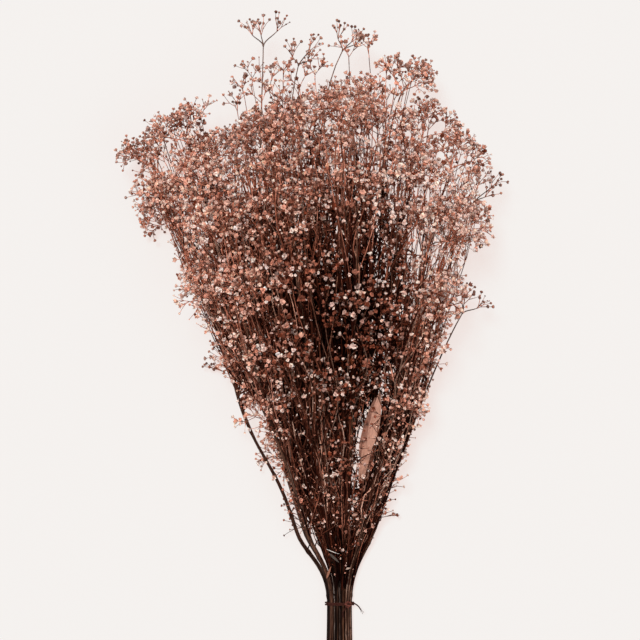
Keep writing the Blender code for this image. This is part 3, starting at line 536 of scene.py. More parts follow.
class Stem:
    """One stem's place in the neck and the fan, its axis, and the sprays and leaf it carries."""

    def __init__(self, number, row, slot, draw):
        layer, count, spread = STEM_ROWS[row]
        share = 2.0 * slot / (count - 1) - 1.0
        self.number = number
        self.across = spread * share
        self.layer = layer
        self.slot_x = (slot - 0.5 * (count - 1)) * STEM_SPACING
        self.slot_z = THREAD_RISE + STEM_RADIUS + row * ROW_RISE
        self.radius = STEM_RADIUS * draw.uniform(*RADIUS_SHARES)
        self.sway = [(draw.uniform(-SWAY_SIZE, SWAY_SIZE), draw.uniform(*SWAY_WAVES),
                      draw.uniform(*SWAY_PHASES)) for _ in range(2)]
        self.cut_y = CUT_END + draw.uniform(0.0, 2.0) * CUT_END_STAGGER
        self.tip = reach_at(math.degrees(FAN_MIDDLE + self.across * FAN_HALF)) * draw.uniform(*TIP_SHARES)
        self.length = self.tip - APEX_BEHIND_THREAD
        self.sprays = []
        self.leaf = None
        self.outs = [self.cut_y] + list(NECK_RINGS)
        left = self.length - NECK_RINGS[-1]
        self.outs += [NECK_RINGS[-1] + left * (step + 1) / HEAD_RINGS for step in range(HEAD_RINGS)]
        self.axis = [self.at(out) for out in self.outs]
        self.radii = [self.radius_at(out) for out in self.outs]

    def at(self, out):
        """The axis point at a distance out from the thread; negative towards the cut end."""
        towards_cut = smooth(-out / CUT_END_SINKS_OVER)
        sink = THREAD_RISE * towards_cut
        splay = 1.0 + CUT_END_SPLAY * towards_cut
        splay += NECK_SPLAY * max(out - THREAD_HALF_WIDTH, 0.0)
        held = Vector((self.slot_x * splay, out, self.slot_z - sink))
        if out <= 0.0:
            return held
        free = in_fan(self.across, self.layer, out + APEX_BEHIND_THREAD)
        grown = smooth((out - SWAY_FROM) / SWAY_GROWS_OVER)
        for push, (size, waves, phase) in zip((Vector((1.0, 0.0, 0.0)), UP), self.sway):
            free += push * size * grown * math.sin(phase + waves * out)
        return held.lerp(free, smooth((out - FAN_FROM) / FAN_OPENS_OVER))

    def on_axis(self, out):
        """The point of the built axis, which runs straight between its rings, at a distance out."""
        along = [float(np.interp(out, self.outs, [point[k] for point in self.axis])) for k in range(3)]
        return Vector(along)

    def radius_at(self, out):
        """The axis radius: even in the neck, then tapering to the tip."""
        share = max(out, 0.0) / self.length
        return self.radius + (STEM_TIP_RADIUS - self.radius) * min(share, 1.0)

    def rods(self):
        """The capsules of the axis."""
        return [(self.axis[i], self.axis[i + 1], max(self.radii[i], self.radii[i + 1]))
                for i in range(len(self.axis) - 1)]


class Spray:
    """A bough with a fork at its end: three twigs, each with three florets on pedicels.

    trunk runs from inside the stem's axis to the fork. twigs holds, for each twig, its end, its
    direction and its florets, each a base point, a facing and whether it is pressed flat.
    """

    def __init__(self, trunk, facing, size, draw):
        self.trunk = trunk
        self.facing = facing
        self.leave = 0.0
        self.twigs = []
        hub = trunk[-1]
        rest_taken = False
        for heading in fork(facing, FORK_HALF_ANGLE, draw):
            length = draw.uniform(*TWIG_LENGTH) * size
            end = hub + heading * length
            end.z = max(end.z, LOWEST_HUB)
            heading = (end - hub).normalized()
            florets = []
            for aim in fork(heading, PEDICEL_HALF_ANGLE, draw):
                base = end + aim * draw.uniform(*PEDICEL_LENGTH) * size
                base.z = max(base.z, FLORET_RADIUS + FLORET_OFF_GROUND)
                aim = (base - end).normalized()
                if base.z < FLORET_RADIUS + LEVEL_WITHIN:
                    aim.z = max(aim.z, 0.0)
                    aim.normalize()
                florets.append((base, aim, False))
            if end.z < PRESSED_UNDER and not rest_taken:
                base = end.lerp(florets[0][0], PRESSED_AT)
                base.z = FLORET_DEPTH
                florets[0] = (base, -UP, True)
                rest_taken = True
            self.twigs.append((end, heading, florets))

    def trunk_rods(self):
        """The capsules of the bough, up to the fork."""
        return [(self.trunk[i], self.trunk[i + 1], BOUGH_RADIUS) for i in range(len(self.trunk) - 1)]

    def head_rods(self):
        """The capsules of twigs, pedicels and florets, each with its twig, floret and part."""
        rods = []
        places = []
        for i, (end, _heading, florets) in enumerate(self.twigs):
            rods.append((self.trunk[-1], end, BOUGH_END_RADIUS))
            places.append((i, None, "twig"))
            for j, (base, aim, _pressed) in enumerate(florets):
                middle = base + aim * FLORET_BALL_AT * FLORET_DEPTH
                rods.append((end, base, TWIG_RADIUS))
                places.append((i, j, "pedicel"))
                rods.append((middle, middle + aim * 0.0001, FLORET_BALL))
                places.append((i, j, "ball"))
        return rods, places

    def keep_clear_parts(self, space):
        """Drops the florets and twigs that would touch something placed or each other."""
        rods, places = self.head_rods()
        free = space.gaps(rods) >= TOUCHING_GAP
        starts, ends, radii = rod_arrays(rods)
        low, high, thick = rod_arrays(self.trunk_rods())
        apart = rod_distances(starts, ends, starts, ends) - radii[:, None] - radii[None, :]
        from_trunk = (rod_distances(starts, ends, low, high) - radii[:, None] - thick).min(axis=1)
        kept = []
        for k, (i, j, part) in enumerate(places):
            if part == "ball" and from_trunk[k] < TOUCHING_GAP:
                free[k] = False
            for m in kept:
                if apart[k, m] < TOUCHING_GAP and not share_joint(places[k], places[m]):
                    free[k] = False
            if part != "twig" and not free[places.index((i, None, "twig"))]:
                free[k] = False
            if part == "ball" and not free[k - 1]:
                free[k] = False
            if free[k]:
                kept.append(k)
        twigs = []
        for i, (end, heading, florets) in enumerate(self.twigs):
            left = [floret for j, floret in enumerate(florets)
                    if free[places.index((i, j, "ball"))] and turns_gently(heading, end, floret)]
            if left and heading.dot(self.facing) > SHARPEST_TURN:
                twigs.append((end, heading, left))
        self.twigs = twigs

    def floret_count(self):
        """How many florets the spray has."""
        return sum(len(florets) for _end, _heading, florets in self.twigs)

    def floret_points(self):
        """The middles of the florets' mouths."""
        return [base + aim * FLORET_DEPTH for _end, _heading, florets in self.twigs
                for base, aim, _pressed in florets]


def turns_gently(heading, end, floret):
    """Whether the way from a twig through its pedicel into a floret has no sharp turn."""
    base, aim, _pressed = floret
    way = (base - end).normalized()
    return way.dot(heading) > SHARPEST_TURN and (way.dot(aim) > 2 * SHARPEST_TURN)


def share_joint(one, other):
    """Whether two rods of a spray, as twig, floret and part, meet at a joint."""
    if one[2] == "twig" and other[2] == "twig":
        return True
    if one[0] != other[0]:
        return False
    parts = {one[2], other[2]}
    return parts == {"twig", "pedicel"} or parts == {"pedicel"} or (
        one[1] == other[1] and parts == {"pedicel", "ball"})


def rod_arrays(rods):
    """The starts, ends and radii of rods as arrays."""
    return (np.array([rod[0] for rod in rods]), np.array([rod[1] for rod in rods]),
            np.array([rod[2] for rod in rods]))


def fork(heading, half_angles, draw):
    """Three headings spread round one, at a random turn and half angle in degrees."""
    side = heading.orthogonal().normalized()
    turn = draw.uniform(0.0, 120.0)
    out = []
    for third in range(3):
        axis = side.copy()
        axis.rotate(Quaternion(heading, math.radians(turn + 120.0 * third + draw.uniform(-14.0, 14.0))))
        aim = heading.copy()
        aim.rotate(Quaternion(axis, math.radians(draw.uniform(*half_angles))))
        out.append(aim)
    return out


def bough_path(stem, leave, hub, facing):
    """Points of a bough that leaves the axis gently and arrives at the hub along the facing."""
    start = stem.on_axis(leave)
    along = (stem.on_axis(leave + 0.01) - start).normalized()
    span = (hub - start).length
    mixed = along.lerp((hub - start).normalized(), 1.0 - BOUGH_START_ALONG_AXIS)
    first = mixed.normalized() * span * BOUGH_START_PULL
    last = facing * span * BOUGH_END_PULL
    path = []
    for step in range(5):
        t = step / 4.0
        path.append(start * (2 * t**3 - 3 * t**2 + 1) + first * (t**3 - 2 * t**2 + t)
                    + hub * (3 * t**2 - 2 * t**3) + last * (t**3 - t**2))
    return path


def head_facing(across, layer, heading, draw):
    """The way a spray faces: outward, and up or down with its layer."""
    facing = Vector((math.sin(heading), math.cos(heading), 0.0))
    facing += Vector((FACES_OUT * across, 0.0, FACES_WITH_LAYER * layer + FACES_UP))
    facing += Vector([draw.gauss(0.0, FACES_RANDOM) for _ in range(3)])
    return facing.normalized()


def nearest_stems(stems, hub, load):
    """The stems that pass nearest to the hub's ray, with a cost for what each carries."""
    def cost(stem):
        reach = fan_angle_and_distance(hub)[1]
        out = min(reach * BRANCH_POINT_SHARE, stem.tip) - APEX_BEHIND_THREAD
        return (stem.at(out) - in_fan_of(hub, out)).length + LOAD_COST * load[stem.number]
    return sorted(stems, key=cost)[:STEMS_TRIED]


def in_fan_of(hub, out):
    """The point at a distance out on the ray from the apex to a hub."""
    angle, distance = fan_angle_and_distance(hub)
    share = (out + APEX_BEHIND_THREAD) / distance
    flat = Vector((hub.x, hub.y + APEX_BEHIND_THREAD, 0.0)) * share
    near = half_thickness(out + APEX_BEHIND_THREAD)
    far = half_thickness(distance)
    height = THREAD_RISE + near + (hub.z - THREAD_RISE - far) * near / far
    return Vector((flat.x, flat.y - APEX_BEHIND_THREAD, height))


def spread_of(points, placed):
    """How well new florets fill gaps seen from above: the sum of their distances, capped."""
    if not placed:
        return 0.0
    squash = np.array((1.0, 1.0, 0.5))
    new = np.array(points) * squash
    old = np.array(placed) * squash
    apart = np.sqrt(((new[:, None, :] - old[None, :, :]) ** 2).sum(-1)).min(axis=1)
    return float(np.minimum(apart, FLORETS_APART).sum())


def place_spray(stem, hub, heading, size, limit, leaves, space, placed, draw):
    """The best clear spray near a hub out of many tries, or None.

    limit is how far outside the outline a floret may lie, and leaves is the range of distances out
    at which the bough may leave the axis.
    """
    best = None
    best_score = -1.0
    angle, distance = fan_angle_and_distance(hub)
    across = (math.radians(angle) - FAN_MIDDLE) / FAN_HALF
    layer = (hub.z - THREAD_RISE - half_thickness(distance)) / half_thickness(distance)
    for attempt in range(TRIES):
        shift = HUB_SHIFTS[0] + (HUB_SHIFTS[1] - HUB_SHIFTS[0]) * attempt / TRIES
        moved = hub + Vector([draw.uniform(-shift, shift) for _ in range(3)])
        moved.z = max(moved.z, LOWEST_HUB)
        facing = head_facing(across, layer, heading, draw)
        leave = min(draw.uniform(*leaves), TIP_LEAVES[1] * stem.length)
        if any(abs(leave - other.leave) < LEAVE_SPACING for other in stem.sprays):
            continue
        spray = Spray(bough_path(stem, leave, moved, facing), facing, size, draw)
        spray.leave = leave
        if min(point.z for point in spray.trunk) < BOUGH_RADIUS + TOUCHING_GAP:
            continue
        if max(past_outline(point) for point in spray.floret_points()) > limit:
            continue
        trunk = spray.trunk_rods()
        if min(space.gaps(trunk, skip=stem.number)) < TOUCHING_GAP:
            continue
        if min(space.gaps(trunk[2:])) < TOUCHING_GAP:
            continue
        spray.keep_clear_parts(space)
        if spray.floret_count() < FEWEST_FLORETS:
            continue
        score = spread_of(spray.floret_points(), placed)
        if score > best_score:
            best = spray
            best_score = score
    return best


def hubs_in_head(count, hubs, draw):
    """Hubs that fill the head evenly: each is the farthest from the others of many draws."""
    chosen = list(hubs)
    fresh = []
    squash = Vector((1.0, 1.0, 0.8))
    while len(fresh) < count:
        best = None
        best_gap = -1.0
        for _ in range(HUB_DRAWS):
            across = draw.uniform(-HUB_ACROSS, HUB_ACROSS)
            layer = draw.uniform(*HUB_LAYERS)
            reach = reach_at(math.degrees(FAN_MIDDLE + across * FAN_HALF)) - HUB_INSIDE_REACH
            distance = math.sqrt(draw.uniform(SPRAY_START**2, reach**2))
            hub = in_fan(across, layer, distance)
            inset = distance * FAN_HALF * (1.0 - abs(across))
            gap = min(((hub - other) * squash).length for other in chosen)
            gap = min(gap, 0.5 * gap + 2.0 * inset)
            if gap > best_gap:
                best = hub
                best_gap = gap
        chosen.append(best)
        fresh.append(best)
    return fresh


def lay_out_bunch():
    """All stems with their sprays and leaves, every one clear of the others."""
    draw = random.Random(SEED)
    space = Capsules()
    stems = []
    for row, (_layer, count, _spread) in enumerate(STEM_ROWS):
        for slot in range(count):
            stems.append(Stem(len(stems) + 1, row, slot, draw))
    for stem in stems:
        if stem.number > 1 and min(space.gaps(stem.rods())) < TOUCHING_GAP:
            raise RuntimeError("stem %d is too close to another" % stem.number)
        space.add(stem.rods(), stem.number)

    wanted = []
    for place, heading, size in KEY_SPRAYS:
        wanted.append((None, Vector(place), math.radians(heading), size, KEY_SLACK))
    for stem in stems:
        hub = in_fan(stem.across * TIP_HUB[0], stem.layer * TIP_HUB[1], stem.tip + TIP_HUB[2])
        wanted.append((stem, hub, FAN_MIDDLE + stem.across * FAN_HALF, TIP_SPRAY_SIZE, TIP_SLACK))
    for hub in hubs_in_head(SPRAY_COUNT, [item[1] for item in wanted], draw):
        wanted.append((None, hub, math.radians(fan_angle_and_distance(hub)[0]), 1.0, MASS_SLACK))

    load = {stem.number: 0 for stem in stems}
    placed = []
    for order, (own_stem, hub, heading, size, limit) in enumerate(wanted):
        out = fan_angle_and_distance(hub)[1] - APEX_BEHIND_THREAD
        for stem in [own_stem] if own_stem else nearest_stems(stems, hub, load):
            shares, reach = (TIP_LEAVES, stem.length) if own_stem else (SIDE_LEAVES, out)
            leaves = (shares[0] * reach, shares[1] * reach)
            spray = place_spray(stem, hub, heading, size, limit, leaves, space, placed, draw)
            if spray:
                break
        if spray is None:
            continue
        spray.order = order
        stem.sprays.append(spray)
        load[stem.number] += 1
        space.add(spray.trunk_rods(), stem.number)
        space.add(spray.head_rods()[0], stem.number)
        placed += [tuple(point) for point in spray.floret_points()]
    for stem in stems[::EVERY_NTH_HAS_LEAF]:
        stem.leaf = place_leaf(stem, space, draw)
    return stems


def place_leaf(stem, space, draw):
    """A narrow leaf at a node of the stem, as its start, its heading and its flat side, or None."""
    for _ in range(LEAF_DRAWS):
        out = draw.uniform(*LEAF_OUT)
        start = stem.on_axis(out)
        along = (stem.on_axis(out + 0.01) - start).normalized()
        side = along.orthogonal().normalized()
        side.rotate(Quaternion(along, draw.uniform(0.0, FULL_TURN)))
        heading = (along + side * draw.uniform(*LEAF_LEAN)).normalized()
        root = start + heading * LEAF_CLEAR_FROM * stem.radius
        tip = start + heading * LEAF_LENGTH
        rods = [(root, tip, LEAF_HALF_WIDTH)]
        if tip.z > LEAF_OFF_GROUND and min(space.gaps(rods)) > TOUCHING_GAP:
            space.add(rods, stem.number)
            return start, heading, side.cross(along).normalized()
    return None


def thread_route(stems):
    """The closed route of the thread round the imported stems, anticlockwise seen from the cut ends."""
    stand_off = TOUCHING_GAP + THREAD_RADIUS
    route = []
    for step in range(THREAD_STEPS):
        angle = FULL_TURN * step / THREAD_STEPS
        away = Vector((math.cos(angle), 0.0, math.sin(angle)))
        far = max(stems, key=lambda stem: stem.at(0.0).dot(away) + stem.radius)
        route.append(far.at(0.0) + away * (STEM_RADIUS + stand_off))
    return route


def unit(rows):
    """Vectors made one long."""
    return rows / np.maximum(np.linalg.norm(rows, axis=-1, keepdims=True), 1e-12)


def row(point):
    """A point or vector as a one-row array."""
    return np.array([tuple(point)], float)


def rises(values, start, over):
    """A share that is 0 up to a start and grows evenly to 1 over a length from there."""
    return np.clip((values - start) / over, 0.0, 1.0)


def falls(values, end, over):
    """A share that falls evenly from 1 to 0 over a length that ends here."""
    return np.clip((end - values) / over, 0.0, 1.0)


def across_and_distance(points):
    """How far across the fan points are, and how far from its apex, in plan."""
    along = points[..., 1] + APEX_BEHIND_THREAD
    across = (np.arctan2(points[..., 0], along) - FAN_MIDDLE) / FAN_HALF
    return across, np.hypot(points[..., 0], along)


def fan_places(points):
    """Across, layer and distance of points in the fan, as three arrays."""
    across, distance = across_and_distance(points)
    share = np.clip(distance / FULL_THICKNESS_AT, 0.0, 1.0)
    grow = share * share * (3.0 - 2.0 * share)
    half = NECK_HALF_THICKNESS + (HEAD_HALF_THICKNESS - NECK_HALF_THICKNESS) * grow
    squared = np.minimum(across * across, 1.0)
    lens = half * np.sqrt(1.0 - BLUNT_SIDES * squared)
    layer = (points[:, 2] - THREAD_RISE - half * (1.0 - LOW_SIDES * squared)) / lens
    return across, layer, distance


def points_in_fan(across, layer, distance):
    """The points of the head at these fan coordinates, as rows."""
    return np.array([in_fan(*place) for place in zip(across, layer, distance)])


def reach_across(across):
    """How far the head reaches at these places across the fan."""
    return np.array([reach_at(math.degrees(FAN_MIDDLE + place * FAN_HALF)) for place in across])


def from_apex(points, height):
    """The ways to points from a height over the fan's apex."""
    return points - np.array([[0.0, -APEX_BEHIND_THREAD, height]])


def heart_and_shade_depth(points):
    """How far points are in the dark heart, darker both in colour and in painted shade, and how deep they
    lie, for painted shade under the top layer.

    The heart is a bell in plan or the way down to the neck; both fade at the head's edge.
    """
    across, layer, _distance = fan_places(points)
    flat = (points[:, :2] - HEART_MIDDLE) / HEART_HALF_SIZES
    bell = np.exp(-(flat * flat).sum(axis=1) ** 1.5)
    low_down = falls(points[:, 1], *DARK_BELOW)
    edge = rises(np.abs(across), *EDGE_PAST) * rises(points[:, 1], *EDGE_ABOVE)
    # Painted shade deepens under the top layer, less at the head's edge
    depth = falls(layer, *DEEP_UNDER) * (1.0 - 0.4 * edge)
    return np.maximum(bell, 0.80 * low_down) * (1.0 - 0.85 * edge), depth


def off_parting(across, distance):
    """How far across the fan points are from the middle of the parting, and how wide it is there."""
    wide = PARTING_HALF * np.exp(-((distance - PARTING_AT) / PARTING_LENGTH) ** 2)
    return across - (PARTING_ACROSS + PARTING_LEAN * (distance - PARTING_AT)), wide


def crosses_parting(paths):
    """Which paths cross from one side of the parting to the other where it is wide."""
    off, wide = off_parting(*across_and_distance(paths))
    return ((off[:, 1:] * off[:, :-1] < 0.0) & (wide[:, 1:] > 0.25 * PARTING_HALF)).any(axis=1)


def held_in(paths, limit):
    """Paths turned about the fan's apex: back to a limit across it, and out of the parting.

    On the left the limit is closer low down, so the outermost stem stands apart there. A point at
    d from the middle of the parting, whose half width is h and is w there, moves away from it by
    w exp(-(d / 3 h)^2).
    """
    across, distance = across_and_distance(paths)
    closer = LEFT_GAP * falls(distance, *LEFT_GAP_ENDS) * rises(distance, *LEFT_GAP_STARTS)
    across = np.clip(across, closer - limit, limit)
    off, wide = off_parting(across, distance)
    across = across + np.sign(off) * wide * np.exp(-(off / (3.0 * PARTING_HALF)) ** 2)
    angle = FAN_MIDDLE + FAN_HALF * across
    return np.stack((distance * np.sin(angle), distance * np.cos(angle) - APEX_BEHIND_THREAD,
                     paths[..., 2]), axis=-1)


def patches(points):
    """Slow patches of painted light and shade through the head: the mean of the waves that cross it."""
    total = 0.0
    for turn, per_metre, phase in PATCH_WAVES:
        along = points[..., 0] * math.cos(turn) + points[..., 1] * math.sin(turn) + 0.5 * points[..., 2]
        total = total + np.sin(per_metre * along + phase)
    return total / len(PATCH_WAVES)


def on_shoulder(points):
    """How far points are on the pale airy shoulder of the head, as a bell in plan."""
    return np.exp(-(((points[..., :2] - SHOULDER_MIDDLE) / SHOULDER_HALF_SIZES) ** 2).sum(axis=-1))


def folded(values, limit):
    """Values past a limit either way turned back by as much as they were past it."""
    return np.where(np.abs(values) > limit, np.sign(values) * (2.0 * limit - np.abs(values)), values)


class Surface:
    """One piece's points, tones and faces, gathered as arrays."""

    def __init__(self):
        self.points = []
        self.tones = []
        self.quads = []
        self.triangles = []
        self.count = 0

    def add(self, points, tones, quads, triangles):
        """Adds like shapes: points and tones by shape, and faces as numbers within one shape."""
        shapes, each = points.shape[:2]
        first = self.count + each * np.arange(shapes)[:, None, None]
        self.points.append(points.reshape(-1, 3))
        self.tones.append(tones.reshape(-1, 3))
        self.quads.append((first + quads[None]).reshape(-1, 4))
        if len(triangles):
            self.triangles.append((first + triangles[None]).reshape(-1, 3))
        self.count += shapes * each

    def piece(self, name, material, smooth_faces):
        """The piece in the scene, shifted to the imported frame, with its tones as an attribute."""
        points = np.concatenate(self.points) + np.array(packed_shift())
        quads = np.concatenate(self.quads)
        triangles = np.concatenate(self.triangles) if self.triangles else np.zeros((0, 3), int)
        loops = np.concatenate((quads.ravel(), triangles.ravel()))
        starts = np.concatenate((4 * np.arange(len(quads)),
                                 4 * len(quads) + 3 * np.arange(len(triangles))))
        mesh = bpy.data.meshes.new(name)
        mesh.vertices.add(len(points))
        mesh.vertices.foreach_set("co", points.astype(np.float32).ravel())
        mesh.loops.add(len(loops))
        mesh.loops.foreach_set("vertex_index", loops.astype(np.int32))
        mesh.polygons.add(len(starts))
        mesh.polygons.foreach_set("loop_start", starts.astype(np.int32))
        mesh.update(calc_edges=True)
        mesh.polygons.foreach_set("use_smooth", np.full(len(starts), smooth_faces))
        tones = np.ones((len(points), 4), np.float32)
        tones[:, :3] = np.clip(np.concatenate(self.tones), 0.0, 1.0)
        mesh.color_attributes.new("tone", "FLOAT_COLOR", "POINT").data.foreach_set("color", tones.ravel())
        if mesh.validate():
            raise RuntimeError("the mesh of %s was not valid" % name)
        mesh.materials.append(material)
        item = bpy.data.objects.new(name, mesh)
        bpy.context.scene.collection.objects.link(item)
        return item


def ring_quads(rings, sides, closed):
    """Quads between neighbouring rings of a grid; a closed grid also joins its last ring to its first."""
    i, k = np.meshgrid(np.arange(rings if closed else rings - 1), np.arange(sides), indexing="ij")
    after = (i + 1) % rings
    around = (k + 1) % sides
    corners = (i * sides + k, i * sides + around, after * sides + around, after * sides + k)
    return np.stack(corners, axis=-1).reshape(-1, 4)


def spokes(along, sides, turn=0.0):
    """Unit spokes of rings square to the paths: cos and sin of the angle along two square directions."""
    chord = np.abs(unit(along.sum(axis=1)))
    square = np.eye(3)[chord.argmin(axis=1)][:, None, :]
    side = unit(np.cross(along, square))
    up = np.cross(along, side)
    angle = 2.0 * np.pi * np.arange(sides) / sides + np.asarray(turn)[..., None]
    return (side[:, :, None, :] * np.cos(angle)[..., None] + up[:, :, None, :] * np.sin(angle)[..., None])


def closing_fans(rings, sides):
    """Triangles from two end points, numbered after the rings, to the first and the last ring."""
    k = np.arange(sides)
    after = (k + 1) % sides
    last = (rings - 1) * sides
    low = np.stack((np.full(sides, rings * sides), after, k), axis=1)
    high = np.stack((np.full(sides, rings * sides + 1), last + k, last + after), axis=1)
    return np.concatenate((low, high))


def add_tubes(surface, paths, radii, sides, tones):
    """Round tubes along many paths at once: each path's point plus its radius times a spoke.

    Both ends are closed by a fan over their own ring. Tones are by path and ring, or by side too.
    """
    count, rings = paths.shape[:2]
    skin = paths[:, :, None, :] + radii[:, :, None, None] * spokes(unit(np.gradient(paths, axis=1)), sides)
    k = np.arange(1, sides - 1)
    low = np.stack((0 * k, k + 1, k), axis=1)
    high = (rings - 1) * sides + low[:, ::-1]
    if tones.ndim == 3:
        tones = np.repeat(tones[:, :, None], sides, axis=2)
    surface.add(skin.reshape(count, -1, 3), tones.reshape(count, -1, 3),
                ring_quads(rings, sides, False), np.concatenate((low, high)))


def add_rings(surface, path, radii, sides, tone):
    """A round tube along a closed path: each of its points plus the radius at each spoke."""
    along = unit(np.roll(path, -1, axis=0) - np.roll(path, 1, axis=0))[None]
    skin = path[None, :, None, :] + radii[None, :, :, None] * spokes(along, sides)
    points = skin.reshape(1, -1, 3)
    surface.add(points, np.broadcast_to(tone, points.shape), ring_quads(len(path), sides, True),
                np.zeros((0, 3), int))


def hermite(start, leaving, end, arriving, steps):
    """Cubic curves that start and end at given points with given tangents, as curves by steps."""
    t = np.linspace(0.0, 1.0, steps)[None, :, None]
    return (start[:, None] * (2 * t**3 - 3 * t**2 + 1) + leaving[:, None] * (t**3 - 2 * t**2 + t)
            + end[:, None] * (3 * t**2 - 2 * t**3) + arriving[:, None] * (t**3 - t**2))


def through(points, steps, closed):
    """A smooth curve through points: between two of them a cubic whose end tangents are half the
    way between the neighbours on either side."""
    points = np.array(points, float)
    if closed:
        before, after = np.roll(points, 1, axis=0), np.roll(points, -1, axis=0)
    else:
        before = np.concatenate((points[:1], points[:-1]))
        after = np.concatenate((points[1:], points[-1:]))
    tangents = 0.5 * (after - before)
    count = len(points) if closed else len(points) - 1
    first = np.arange(count)
    second = (first + 1) % len(points)
    curves = hermite(points[first], tangents[first], points[second], tangents[second], steps + 1)
    line = curves[:, :-1].reshape(-1, 3)
    return line if closed else np.concatenate((line, points[-1:]))


def add_florets(surface, places, aims, sizes, opening, tones, sides, rng):
    """Florets on a grid of two rings between a base and a centre.

    A ring's point is its height along the aim plus its radius round it, with lobes that go up and
    down by turns. An open floret's centre is sunk between its rings, and a bud's stands over them.
    """
    count = len(places)
    k = np.arange(sides)
    lobes = np.where(k % 2 == 0, 1.0, -1.0)[None, None, :]
    swing = lobes * rng.uniform(0.4, 1.6, (count, 2, sides))
    open_share = opening[:, None, None]
    mixed = (1.0 - open_share) * np.array(BUD_RINGS) + open_share * np.array(OPEN_RINGS)
    height, radius, lobe_height, lobe_width = (mixed[:, :, number, None] for number in range(4))
    rough = rng.normal(0.0, FLORET_ROUGH, (2, count, 2, sides)) * opening[None, :, None, None]
    height = height + lobe_height * swing + rough[0]
    radius = radius * (1.0 + lobe_width * swing) + rough[1]
    around = spokes(aims[:, None, :].repeat(2, axis=1), sides, rng.uniform(0.0, 6.3, (count, 1)))
    stretch = rng.uniform(0.86, 1.12, (count, 1, sides // 2)).repeat(2, axis=2)
    skin = height[..., None] * aims[:, None, None, :] + (radius * stretch)[..., None] * around
    centre = (1.0 - opening) * BUD_CENTRE + opening * OPEN_CENTRE
    points = np.concatenate((skin.reshape(count, -1, 3), np.zeros((count, 1, 3)),
                             centre[:, None, None] * aims[:, None, :]), axis=1)
    points = places[:, None, :] + points * sizes[:, None, None]
    points[..., 2] = np.maximum(points[..., 2], LOWEST_PETAL)
    ring_tone = np.stack((0.84 + 0.34 * opening, 1.14 - 0.40 * opening), axis=1)
    ring_tone = ring_tone[:, :, None] * rng.uniform(0.45, 1.50, (count, 2, sides))
    # Painted highlight and shade: lobes that rise are lighter, those that sink darker
    ring_tone = ring_tone * (1.0 + 0.26 * open_share * np.sign(swing))
    ends = np.stack((0.20 + 0.42 * opening, 0.80 - 0.42 * opening), axis=1)
    shade = np.concatenate((ring_tone.reshape(count, -1), ends), axis=1)
    surface.add(points, shade[..., None] * tones[:, None, :], ring_quads(2, sides, False),
                closing_fans(2, sides))


